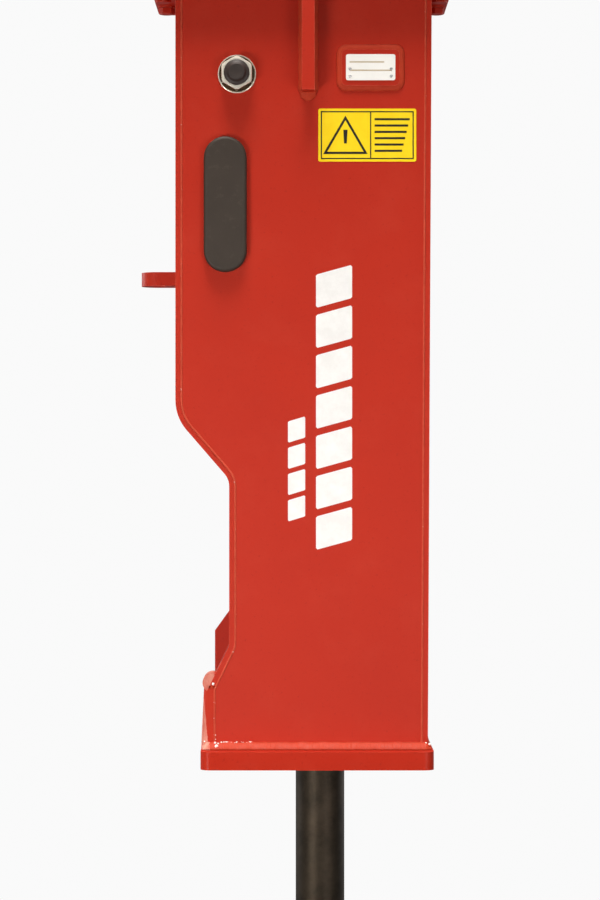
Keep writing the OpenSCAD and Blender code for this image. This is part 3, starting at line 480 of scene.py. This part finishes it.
def rim_loops(node, axis, value):
    """Closed outlines of a CAD node's flat face at a coordinate, longest first, as lists of points."""
    bm = bmesh.new()
    bm.from_mesh(NODES[node].data)
    bmesh.ops.remove_doubles(bm, verts=bm.verts, dist=1e-5)
    bm.normal_update()
    links = {}
    for edge in bm.edges:
        if all(abs(v.co[axis] - value) < 2e-5 for v in edge.verts) and len(edge.link_faces) == 2:
            if sum(abs(f.normal[axis]) > 0.99 for f in edge.link_faces) == 1:
                a, b = (v.index for v in edge.verts)
                links.setdefault(a, []).append(b)
                links.setdefault(b, []).append(a)
    bm.verts.ensure_lookup_table()
    loops, seen = [], set()
    for start in sorted(links):
        if start in seen:
            continue
        loop, at, came = [], start, None
        while at not in seen:
            seen.add(at)
            loop.append(bm.verts[at].co.copy())
            onward = [n for n in links[at] if n != came and n not in seen]
            if not onward:
                break
            came, at = at, onward[0]
        loops.append(loop)
    bm.free()
    return sorted(loops, key=lambda pts: -sum((a - b).length for a, b in zip(pts, pts[1:])))


def prism(outline, y_low, y_high):
    """A flat shape in X-Z, given thickness along Y."""
    count = len(outline)
    verts = [(x, y_low, z) for x, z in outline] + [(x, y_high, z) for x, z in outline]
    faces = [tuple(range(count)), tuple(reversed(range(count, 2 * count)))]
    faces += [(i, (i + 1) % count, count + (i + 1) % count, count + i) for i in range(count)]
    return verts, faces


def rectangle(x0, z0, x1, z1):
    return [(x0, z0), (x1, z0), (x1, z1), (x0, z1)]


def in_mm(profile):
    """A profile of (radius, height) points in metres, from one in millimetres."""
    return [(r * MM, h * MM) for r, h in profile]


def lathe(profile, centre, axis, steps=64):
    """A solid turned about an axis from (radius, height) points, closed at both ends."""
    axis = Vector(axis).normalized()
    u = axis.orthogonal().normalized()
    w = axis.cross(u)
    verts, faces = [], []
    for r, h in profile:
        for k in range(steps):
            a = 2 * math.pi * k / steps
            verts.append(Vector(centre) + axis * h + (u * math.cos(a) + w * math.sin(a)) * r)
    for i in range(len(profile) - 1):
        for k in range(steps):
            a, b = i * steps + k, i * steps + (k + 1) % steps
            faces.append((a, b, b + steps, a + steps))
    faces.append(tuple(reversed(range(steps))))
    faces.append(tuple((len(profile) - 1) * steps + k for k in range(steps)))
    return verts, faces


def hex_head(centre, axis, flat_axis, af, height, skirt=(), bore=0.0, crown=0.55):
    """A chamfered hexagon head or nut, with or without a skirt of (radius, height) points and a bore."""
    axis, flat = Vector(axis).normalized(), Vector(flat_axis).normalized()
    other = axis.cross(flat)
    steps, inner = 96, af / 2 * 0.94
    corner = af / 2 / math.cos(math.pi / 6)
    base = skirt[-1][1] if skirt else 0.8 * MM

    def hex_r(a):
        return af / 2 / math.cos((a + math.pi / 6) % (math.pi / 3) - math.pi / 6)

    def side(a):
        return hex_r(a), base

    def shoulder(a):
        return hex_r(a), height - crown * (hex_r(a) - inner) - 0.12 * (corner - inner)

    def slope(a):
        return (hex_r(a) + inner) / 2, height - crown * 0.28 * (hex_r(a) - inner)

    rings = [(lambda a, at=at: at) for at in skirt] or [lambda a: (inner, 0.0)]
    rings += [side, shoulder, slope, lambda a: (inner, height)]
    if bore:
        rings += [lambda a: (bore + 1.0 * MM, height), lambda a: (bore, height - 1.0 * MM)]
        rings += [lambda a: (bore, 0.0)]
    verts, faces = [], []
    for ring in rings:
        for k in range(steps):
            a = 2 * math.pi * k / steps
            r, h = ring(a)
            verts.append(Vector(centre) + axis * h + (flat * math.cos(a) + other * math.sin(a)) * r)
    count = len(rings)
    for i in range(count if bore else count - 1):
        for k in range(steps):
            a, b = i * steps + k, i * steps + (k + 1) % steps
            c, d = ((i + 1) % count) * steps + (k + 1) % steps, ((i + 1) % count) * steps + k
            faces.append((a, b, c, d))
    if not bore:
        faces.append(tuple(reversed(range(steps))))
        faces.append(tuple((count - 1) * steps + k for k in range(steps)))
    return verts, faces


def middle(node):
    low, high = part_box(node)
    return (low + high) / 2


def island_centres(node):
    """The X and Y of each separate solid of a CAD node, in order of X and then Y, to the millimetre."""
    bm = bmesh.new()
    bm.from_mesh(NODES[node].data)
    bmesh.ops.remove_doubles(bm, verts=bm.verts, dist=1e-5)
    left, centres = set(bm.verts), []
    while left:
        stack, island = [left.pop()], []
        while stack:
            v = stack.pop()
            island.append(v.co.copy())
            for edge in v.link_edges:
                other = edge.other_vert(v)
                if other in left:
                    left.discard(other)
                    stack.append(other)
        x, y = sum(c.x for c in island) / len(island), sum(c.y for c in island) / len(island)
        centres.append(Vector((x, y)))
    bm.free()
    return sorted(centres, key=lambda c: (round(c.x, 3), round(c.y, 3)))


# ---------------------------------------------------------------- CAD nodes: finish and rounded edges

SLOT_OF = {row["node"]: row["material_slot"] for row in frame["record"]["subparts"]}
EDGE_MM = {
    "top_plate": 2.0, "housing_flange": 2.0, "bottom_plate": 2.6, "back_plate": 1.6, "front_plate": 1.6,
    "right_side_plate": 0.6, "left_side_plate": 0.6, "flange_ribs": 2.5, "foot_plate": 1.5, "foot_rib": 1.5,
    "guard_bar": 2.5, "lifting_lug": 4.0, "nameplate_pad": 1.5, "nameplate": 0.4, "warning_label": 0.15,
    "cross_bolt": 1.5, "access_plugs": 1.8, "front_head": 1.5, "cylinder": 1.5, "back_head": 1.5,
    "valve_housing": 1.2, "valve_cap": 1.0, "valve_bolts": 0.8, "valve_cap_bolts": 0.8, "through_bolts": 1.0,
    "through_bolt_nuts": 1.0, "upper_damper": 2.5, "lower_damper": 2.5, "side_dampers": 3.0, "tool": 0.8,
    "piston": 1.0, "pressure_adapter": 0.8, "return_adapter": 0.8, "gas_valve": 0.5, "valve_adjuster": 0.6,
    "flange_washers": 0.5,
}
FOOT_LEAN = 0.075
foot_low, foot_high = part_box("foot_plate")
foot_edge = foot_low.x + 12 * MM + FOOT_LEAN * foot_low.z
bar_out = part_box("guard_bar")[0].x

# The plates that the ground wears have a finish of their own; the pale streaks on the foot plate and guard
# bar are partly scouring wear and partly a painted reflection
WORN_AND_SHEEN = {
    "bottom_plate": paint("dull_enamel", 0.35, shine=0.14, low=0.66, high=0.84),
    "foot_plate": scoured_and_sheen_paint("scoured_and_sheen_foot", foot_edge + 5 * MM, foot_edge - 2 * MM, FOOT_LEAN),
    "guard_bar": scoured_and_sheen_paint("scoured_and_sheen_bar", bar_out + 30 * MM, bar_out + 14 * MM),
}
for name, obj in NODES.items():
    obj.data.materials.clear()
    obj.data.materials.append(WORN_AND_SHEEN.get(name, MATERIALS[SLOT_OF[name]]))
    if name in EDGE_MM:
        bevel(obj, EDGE_MM[name] * MM)


# ---------------------------------------------------------------- fasteners

nut_low, nut_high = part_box("cross_bolt_nuts")
bolt_mid = middle("cross_bolt")
plate_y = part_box("left_side_plate")[1].y
nut_h = nut_high.y - plate_y
rim_r = (nut_high.x - nut_low.x) / 2
NUT_AF, NUT_BORE, CHAMFER_H = 60 * MM, 18.05 * MM, 3.4 * MM
GROOVE_IN = 3.1 * MM
RIM = [(-0.7, 0.0), (0.0, 0.8), (0.0, 3.7), (-0.6, 4.7), (-1.5, 5.0), (-2.3, 4.6), (-3.0, 3.2), (-3.3, 2.4)]
skirt = [(rim_r + r * MM, h * MM) for r, h in RIM]
nuts = []
for side in (-1, 1):
    foot = Vector((bolt_mid.x, side * plate_y, bolt_mid.z))
    nuts.append(hex_head(foot, (0, side, 0), (1, 0, 0), NUT_AF, nut_h, skirt, NUT_BORE))
nut_axis = (bolt_mid.x, 0.0, bolt_mid.z)
plated = plated_nut("plated_nut", nut_axis, rim_r - GROOVE_IN, plate_y + nut_h - CHAMFER_H)
nut_piece = piece("flange_nuts", *join(nuts), "zinc_steel", plated)
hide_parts("cross_bolt_nuts")
bevel(nut_piece, 0.4 * MM, 1, 25.0)

CAP = [(25.3, 0.0), (25.3, 4.4), (24.8, 6.0), (23.8, 6.8), (21.0, 7.6), (18.6, 9.2), (17.2, 11.6),
       (16.7, 13.0), (15.6, 13.8), (14.2, 14.0), (12.0, 14.0), (11.2, 13.8), (0.4, 13.7)]
caps = []
for side in (-1, 1):
    foot = Vector((bolt_mid.x, side * (plate_y + nut_h), bolt_mid.z))
    caps.append(lathe(in_mm(CAP), foot, (0, side, 0)))
cap_piece = piece("nut_caps", *join(caps), "black_plastic", MATERIALS["black_plastic"])
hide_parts("cross_bolt_caps")

bolt_low, bolt_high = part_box("flange_bolts")
flange_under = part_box("housing_flange")[0].z
washer_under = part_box("flange_washers")[0].z
head_h = washer_under - bolt_low.z
shank_top = (bolt_high.z - washer_under) / MM
SHANK = [(9.4, -1.0), (10.0, 1.0), (10.0, shank_top - 1.5), (8.8, shank_top)]
HEAD_AF, TURN_STEP, TURN_REPEAT = 30 * MM, 17, 60
shapes = []
for k, (x, y) in enumerate(island_centres("flange_washers")):
    spot = Vector((x, y, washer_under))
    turn = math.radians(TURN_STEP * k % TURN_REPEAT)
    shapes.append(hex_head(spot, (0, 0, -1), (math.cos(turn), math.sin(turn), 0), HEAD_AF, head_h))
    shapes.append(lathe(in_mm(SHANK), spot, (0, 0, 1), 24))
bolt_piece = piece("flange_bolt_set", *join(shapes), "red_paint", MATERIALS["red_paint"])
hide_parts("flange_bolts")
bevel(bolt_piece, 0.4 * MM, 1, 30.0)

name_low, name_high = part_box("nameplate")
rivet_low, rivet_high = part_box("nameplate_rivets")
RIVET_R = 3 * MM
RIVET = [(1.4, -1.4), (3.0, 0.02), (2.9, 0.5), (2.4, 0.95), (1.6, 1.25), (0.9, 1.33), (0.55, 1.05),
         (0.1, 1.0)]
rivets = []
for x in (rivet_low.x + RIVET_R, rivet_high.x - RIVET_R):
    for z in (rivet_low.z + RIVET_R, rivet_high.z - RIVET_R):
        rivets.append(lathe(in_mm(RIVET), (x, name_low.y, z), (0, -1, 0), 24))
rivet_piece = piece("dome_rivets", *join(rivets), "bright_steel", MATERIALS["bright_steel"])
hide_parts("nameplate_rivets")


# ---------------------------------------------------------------- weld beads

bottom_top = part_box("bottom_plate")[1].z
front_low, front_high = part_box("front_plate")
back_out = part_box("back_plate")[0].x

SEAM_R = 2.1 * MM
seams = []
for side, node in ((-1, "right_side_plate"), (1, "left_side_plate")):
    outline = rim_loops(node, 1, side * plate_y)[0]
    seams.append(bead(outline, SEAM_R, (0, side, 0), closed=True, ripple=0.05, flat=0.35, seed=side,
                      fine=2.2 * MM))
# The seam beads take the paler enamel, whose extra lightness is a painted highlight
piece("seam_welds", *join(seams), "red_paint", HIGHLIT_SEAM_PAINT)

# The heavy fillets where the housing stands on the bottom plate, and where it meets the flange
UP, DOWN = (0, 0, 1), (0, 0, -1)
PLATE_INSET, TOE_REACH = 12 * MM, 7 * MM
toe_root_x = front_low.x + PLATE_INSET
front_toe_x = toe_root_x + TOE_REACH
BOTTOM_LEG, FLANGE_LEG = 15 * MM, 9 * MM
fillets = []
for side in (-1, 1):
    y, out = side * plate_y, (0, side, 0)
    fillets.append(fillet((foot_low.x + 3 * MM, y, bottom_top), (front_toe_x, y, bottom_top), out, UP,
                          BOTTOM_LEG, BOTTOM_LEG, seed=3 + side))
    fillets.append(fillet((back_out + 1 * MM, y, flange_under), (front_high.x - 1 * MM, y, flange_under),
                          out, DOWN, FLANGE_LEG, FLANGE_LEG, wobble=0.16, seed=7 + side))
for x, out in ((back_out, (-1, 0, 0)), (front_high.x, (1, 0, 0))):
    fillets.append(fillet((x, -plate_y, flange_under), (x, plate_y, flange_under), out, DOWN,
                          FLANGE_LEG, FLANGE_LEG, wobble=0.16, seed=13 + x))
# The pale pinkish end of the bottom welds by the foot is partly scouring wear and partly a painted reflection
scoured_and_sheen_weld = scoured_and_sheen_paint("scoured_and_sheen_weld", foot_low.x + 22 * MM, foot_low.x + 9 * MM, 0.0,
                            (0.430, 0.032, 0.011), (0.530, 0.056, 0.022))
piece("fillet_welds", *join(fillets), "red_paint", scoured_and_sheen_weld)

# A tall hollow fillet up the outside of the front plate's foot
TOE_LEG, TOE_H, TOE_HOLLOW = 10 * MM, 56 * MM, -0.5
toe = fillet((toe_root_x, -plate_y, bottom_top), (toe_root_x, plate_y, bottom_top), (1, 0, 0), UP,
             TOE_LEG, TOE_H, TOE_HOLLOW, 0.06, 21)
piece("toe_fillet", *toe, "red_paint", CHIPPED_WELD)

# The ribs under the flange are welded down both sides and run out in a tongue below
rib_low, rib_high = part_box("flange_ribs")
RIB_LEG, RIB_TOP_LEG = 7.5 * MM, 6 * MM
TONGUE_OUT, TONGUE_H, TONGUE_PAST = 10 * MM, 17 * MM, 3 * MM
ribs = []
for side in (-1, 1):
    y, out = side * plate_y, (0, side, 0)
    for x, away in ((rib_low.x, (-1, 0, 0)), (rib_high.x, (1, 0, 0))):
        ribs.append(fillet((x, y, rib_low.z), (x, y, rib_high.z), out, away, RIB_LEG, RIB_LEG,
                           wobble=0.2, seed=31 + 90 * x + side))
        ribs.append(fillet((x, y, rib_high.z), (x, side * (rib_high.y - 2 * MM), rib_high.z), away, DOWN,
                           RIB_TOP_LEG, RIB_TOP_LEG, wobble=0.2, seed=37 + 90 * x + side))
    ribs.append(fillet((rib_low.x - TONGUE_PAST, y, rib_low.z), (rib_high.x + TONGUE_PAST, y, rib_low.z),
                       out, DOWN, TONGUE_OUT, TONGUE_H, 0.05, 0.10, 41 + side))
piece("rib_welds", *join(ribs), "red_paint", WELD)

PAD_WELD_R = 10.5 * MM
pad = rim_loops("nameplate_pad", 1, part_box("nameplate_pad")[1].y)[0]
pad_bead = bead(pad, PAD_WELD_R, (0, 1, 0), closed=True, ripple=0.03, flat=0.55, seed=50)
piece("pad_weld", *pad_bead, "red_paint", WELD)

# The lug is welded all round its root
lug_low, lug_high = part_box("lifting_lug")
LUG_CORNER, LUG_WELD_R = 5 * MM, 5.5 * MM
near_y, far_y = lug_low.y + LUG_CORNER, lug_high.y - LUG_CORNER
under_z, over_z = lug_low.z + LUG_CORNER, lug_high.z - LUG_CORNER
ring = []
for cy, cz, a0 in ((far_y, over_z, 0), (near_y, over_z, 90), (near_y, under_z, 180), (far_y, under_z, 270)):
    for step in range(5):
        a = math.radians(a0 + 22.5 * step)
        ring.append((lug_high.x, cy + LUG_CORNER * math.cos(a), cz + LUG_CORNER * math.sin(a)))
small = [bead(ring, LUG_WELD_R, (1, 0, 0), closed=True, seed=60)]

# A full-width weld fills the groove between the back plate's end and the foot plate
GROOVE_WELD_R = 6.5 * MM
groove_x, groove_z = foot_high.x - 5 * MM, foot_high.z + 2.6 * MM
groove = [(groove_x, -plate_y, groove_z), (groove_x, plate_y, groove_z)]
small.append(bead(groove, GROOVE_WELD_R, (-1, 0, 0), seed=72))

# The foot's rib is welded to the flat of the back plate, above its flare
FOOT_RIB_WELD_R, FLARE_H, WELD_END = 4 * MM, 62 * MM, 4 * MM
foot_rib_low, foot_rib_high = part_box("foot_rib")
for y in (foot_rib_low.y, foot_rib_high.y):
    line = [(foot_rib_high.x, y, foot_rib_high.z - WELD_END), (foot_rib_high.x, y, foot_rib_low.z + FLARE_H)]
    small.append(bead(line, FOOT_RIB_WELD_R, (1, 0, 0), seed=80 + y))
piece("small_welds", *join(small), "red_paint", WELD)

# Bright spatter: a few set drops (along, up, radius, in millimetres), a scatter along the upper toe of each
# bottom weld and up the foot's seam, and a drop beside the guard bar
SET_DROPS = [(31, 7, 4.0), (28, 13, 2.6), (34, 12, 1.8), (7, 16, 1.6)]
TOE_DROPS = [(4, 11, 2.6), (11, 13, 1.9)]
DROP_ANGLES = (-0.5, -0.1, 0.35, 0.8, 1.2, 1.5)
BAR_DROP = [(2.7, -1.5), (2.9, 0.3), (2.1, 1.7), (0.5, 2.4)]
TOE_SCATTER, SEAM_SCATTER = 26, 9
DROP_FLAT, DROP_LIFT = 0.8, 0.5 * MM
chance = random.Random(5)
blobs = []
for side in (-1, 1):
    y = side * plate_y
    spots = [(foot_low.x + along * MM, rise * MM, r) for along, rise, r in SET_DROPS]
    spots += [(front_toe_x - along * MM, rise * MM, r) for along, rise, r in TOE_DROPS]
    for k in range(TOE_SCATTER):
        along, rise = 40 + 62 * chance.random() ** 1.5, 13.6 + 1.6 * chance.random()
        spots.append((foot_low.x + along * MM, rise * MM, 0.7 + 1.1 * chance.random() ** 2))
    for k in range(SEAM_SCATTER):
        along, rise = 26 + 3 * chance.random(), 20 + 75 * chance.random() ** 2
        spots.append((foot_low.x + along * MM, rise * MM, 0.5 + 0.6 * chance.random()))
    for x, rise, radius in spots:
        dome = in_mm([(radius * math.cos(t), radius * math.sin(t) * DROP_FLAT) for t in DROP_ANGLES])
        proud = max(0.0, BOTTOM_LEG - rise) + DROP_LIFT
        blobs.append(lathe(dome, (x, y + side * proud, bottom_top + rise), (0, side, 0.35), 12))
    blobs.append(lathe(in_mm(BAR_DROP), (foot_low.x + 24 * MM, y, foot_high.z + 9 * MM), (0, side, 0), 16))
piece("weld_spatter", *join(blobs), "bright_steel", BARE_SPATTER)


# ---------------------------------------------------------------- printed marks, all plain shapes

STRIPE_T, STRIPE_IN = 0.25 * MM, 0.1 * MM
LABEL_INK_T, NAME_INK_T, INK_IN = 0.15 * MM, 0.12 * MM, 0.05 * MM


def bar_shape(x0, x1, z0, z1, slant, cut):
    """A bar with slightly eased corners, its ends slanted."""
    return [(x0 + cut, z0), (x1 - cut, z0 + slant), (x1, z0 + slant + cut), (x1, z1 + slant - cut),
            (x1 - cut, z1 + slant), (x0 + cut, z1), (x0, z1 - cut), (x0, z0 + cut)]


def bar_row(x0, x1, low, count, height, gap, slant, cut):
    """A column of like bars up the side plate."""
    rows = [low + k * (height + gap) for k in range(count)]
    return [prism(bar_shape(x0, x1, z, z + height, slant, cut), right_face - STRIPE_T, right_face + STRIPE_IN)
            for z in rows]


BIG_LEFT, BIG_RIGHT, BIG_LOW, BIG_HIGH = -9.5 * MM, 62 * MM, -1205 * MM, -660 * MM
BIG_COUNT, BIG_GAP, BIG_SLANT, BIG_CUT = 7, 14 * MM, 18 * MM, 3 * MM
SMALL_LEFT, SMALL_RIGHT, SMALL_LOW = -65 * MM, -31 * MM, -1149 * MM
SMALL_COUNT, SMALL_H, SMALL_GAP, SMALL_SLANT, SMALL_CUT = 4, 42 * MM, 10 * MM, 9 * MM, 2 * MM
big_h = (BIG_HIGH - BIG_LOW - BIG_GAP * (BIG_COUNT - 1)) / BIG_COUNT
stripes = bar_row(BIG_LEFT, BIG_RIGHT, BIG_LOW, BIG_COUNT, big_h, BIG_GAP, BIG_SLANT, BIG_CUT)
stripes += bar_row(SMALL_LEFT, SMALL_RIGHT, SMALL_LOW, SMALL_COUNT, SMALL_H, SMALL_GAP, SMALL_SLANT,
                   SMALL_CUT)
piece("white_stripes", *join(stripes), "nameplate_white", WHITE_INK, smooth=False)

# The label: a ruled frame with a divider, a warning triangle, and plain bars in place of words
label_low, label_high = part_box("warning_label")
INSET, RULE = 5 * MM, 2.4 * MM
x0, x1, z0, z1 = label_low.x + INSET, label_high.x - INSET, label_low.z + INSET, label_high.z - INSET
split = x0 + 0.53 * (x1 - x0)
shapes = [rectangle(x0, z0, x1, z0 + RULE), rectangle(x0, z1 - RULE, x1, z1)]
shapes += [rectangle(x, z0, x + RULE, z1) for x in (x0, x1 - RULE, split)]
SIGN_H, SIGN_UP, SIGN_HOLE = 76 * MM, 10 * MM, 0.82
sign_half = SIGN_H * 0.58
sign_x, sign_z = (x0 + split) / 2, z0 + SIGN_UP
corners = [(sign_x - sign_half, sign_z), (sign_x + sign_half, sign_z), (sign_x, sign_z + SIGN_H)]
heart = (sign_x, sign_z + SIGN_H / 3)
inner = [tuple(h + (c - h) * SIGN_HOLE for c, h in zip(corner, heart)) for corner in corners]
for k in range(3):
    after = (k + 1) % 3
    shapes.append([corners[k], corners[after], inner[after], inner[k]])
foot_half, top_half, stroke_foot, stroke_top = 2.8 * MM, 4.2 * MM, sign_z + 21 * MM, sign_z + 48 * MM
shapes.append([(sign_x - foot_half, stroke_foot), (sign_x + foot_half, stroke_foot),
               (sign_x + top_half, stroke_top), (sign_x - top_half, stroke_top)])
LINE_H, LINE_PITCH, LINE_TOP, LINE_COUNT = 4.2 * MM, 12.5 * MM, 14 * MM, 6
for k in range(LINE_COUNT):
    z = z1 - LINE_TOP - k * LINE_PITCH
    ragged_end = (8 + (k * 37) % 17) * MM
    shapes.append(rectangle(split + 9 * MM, z - LINE_H, x1 - ragged_end, z))
marks = [prism(shape, label_low.y - LABEL_INK_T, label_low.y + INK_IN) for shape in shapes]
piece("label_marks", *join(marks), "black_rubber", BLACK_INK, smooth=False)

NAME_RULES = [(0.70, 7, 22), (0.38, 7, 7)]
NAME_RULE_HALF = 1.3 * MM
lines = []
for share, left_in, right_in in NAME_RULES:
    z = name_low.z + share * (name_high.z - name_low.z)
    left, right = name_low.x + left_in * MM, name_high.x - right_in * MM
    shape = rectangle(left, z - NAME_RULE_HALF, right, z + NAME_RULE_HALF)
    lines.append(prism(shape, name_low.y - NAME_INK_T, name_low.y + INK_IN))
piece("nameplate_lines", *join(lines), "bronze", TAN_INK, smooth=False)


# ---------------------------------------------------------------- stage and light

AMBIENT = 0.20
SURROUND = (0.955, 0.955, 0.955, 1)


def surround(tree, glow):
    """Makes a glow look nearly white to the camera, while it lights the object only at AMBIENT."""
    glow.inputs["Color"].default_value = SURROUND
    rays = tree.nodes.new("ShaderNodeLightPath")
    level = tree.nodes.new("ShaderNodeMapRange")
    level.inputs["To Min"].default_value = AMBIENT
    level.inputs["To Max"].default_value = 1.0
    tree.links.new(rays.outputs["Is Camera Ray"], level.inputs["Value"])
    tree.links.new(level.outputs["Result"], glow.inputs["Strength"])


def stage_material():
    """The pale floor's material."""
    material = bpy.data.materials.new("studio")
    material.use_nodes = True
    tree = material.node_tree
    tree.nodes.clear()
    out = tree.nodes.new("ShaderNodeOutputMaterial")
    glow = tree.nodes.new("ShaderNodeEmission")
    surround(tree, glow)
    tree.links.new(glow.outputs["Emission"], out.inputs["Surface"])
    return material


FLOOR_HALF, FLOOR_DROP = 9.0, 2 * MM
floor_z = cad_low[2] - FLOOR_DROP
corners = [(x * FLOOR_HALF, y * FLOOR_HALF, floor_z) for x, y in ((-1, -1), (1, -1), (1, 1), (-1, 1))]
floor_mesh = bpy.data.meshes.new("floor")
floor_mesh.from_pydata(corners, [], [(0, 1, 2, 3)])
floor_mesh.materials.append(stage_material())
floor = bpy.data.objects.new("floor", floor_mesh)
bpy.context.collection.objects.link(floor)

world = bpy.data.worlds.new("studio_air")
bpy.context.scene.world = world
world.use_nodes = True
surround(world.node_tree, world.node_tree.nodes["Background"])


def area(name, at, aim, size, power, tint=(1, 1, 1), spread=180):
    """A soft square lamp at a place, aimed at a point, whose light spreads over an angle in degrees."""
    data = bpy.data.lights.new(name, "AREA")
    data.spread = math.radians(spread)
    data.size = size
    data.energy = power
    data.color = tint
    lamp = bpy.data.objects.new(name, data)
    lamp.location = at
    lamp.rotation_euler = (Vector(aim) - Vector(at)).to_track_quat("-Z", "Y").to_euler()
    bpy.context.collection.objects.link(lamp)


WARM, ROSY = (1.0, 0.965, 0.91), (1.0, 0.955, 0.93)
CENTRE, UPPER_FRONT, LOWER_FRONT = (0, 0, -1.0), (0, -0.2, -1.2), (0, -0.2, -1.6)
area("overhead", (-0.3, -1.25, 4.4), UPPER_FRONT, 2.0, 480, WARM)
area("key", (-2.0, -3.0, -2.2), LOWER_FRONT, 1.3, 41, WARM, 90)
area("fill", (2.0, -3.4, -2.4), LOWER_FRONT, 1.6, 34, ROSY, 90)
area("rear_left", (-3.0, 1.6, -0.9), CENTRE, 1.8, 44)
area("rear_right", (2.6, 2.4, -1.0), CENTRE, 1.8, 32)
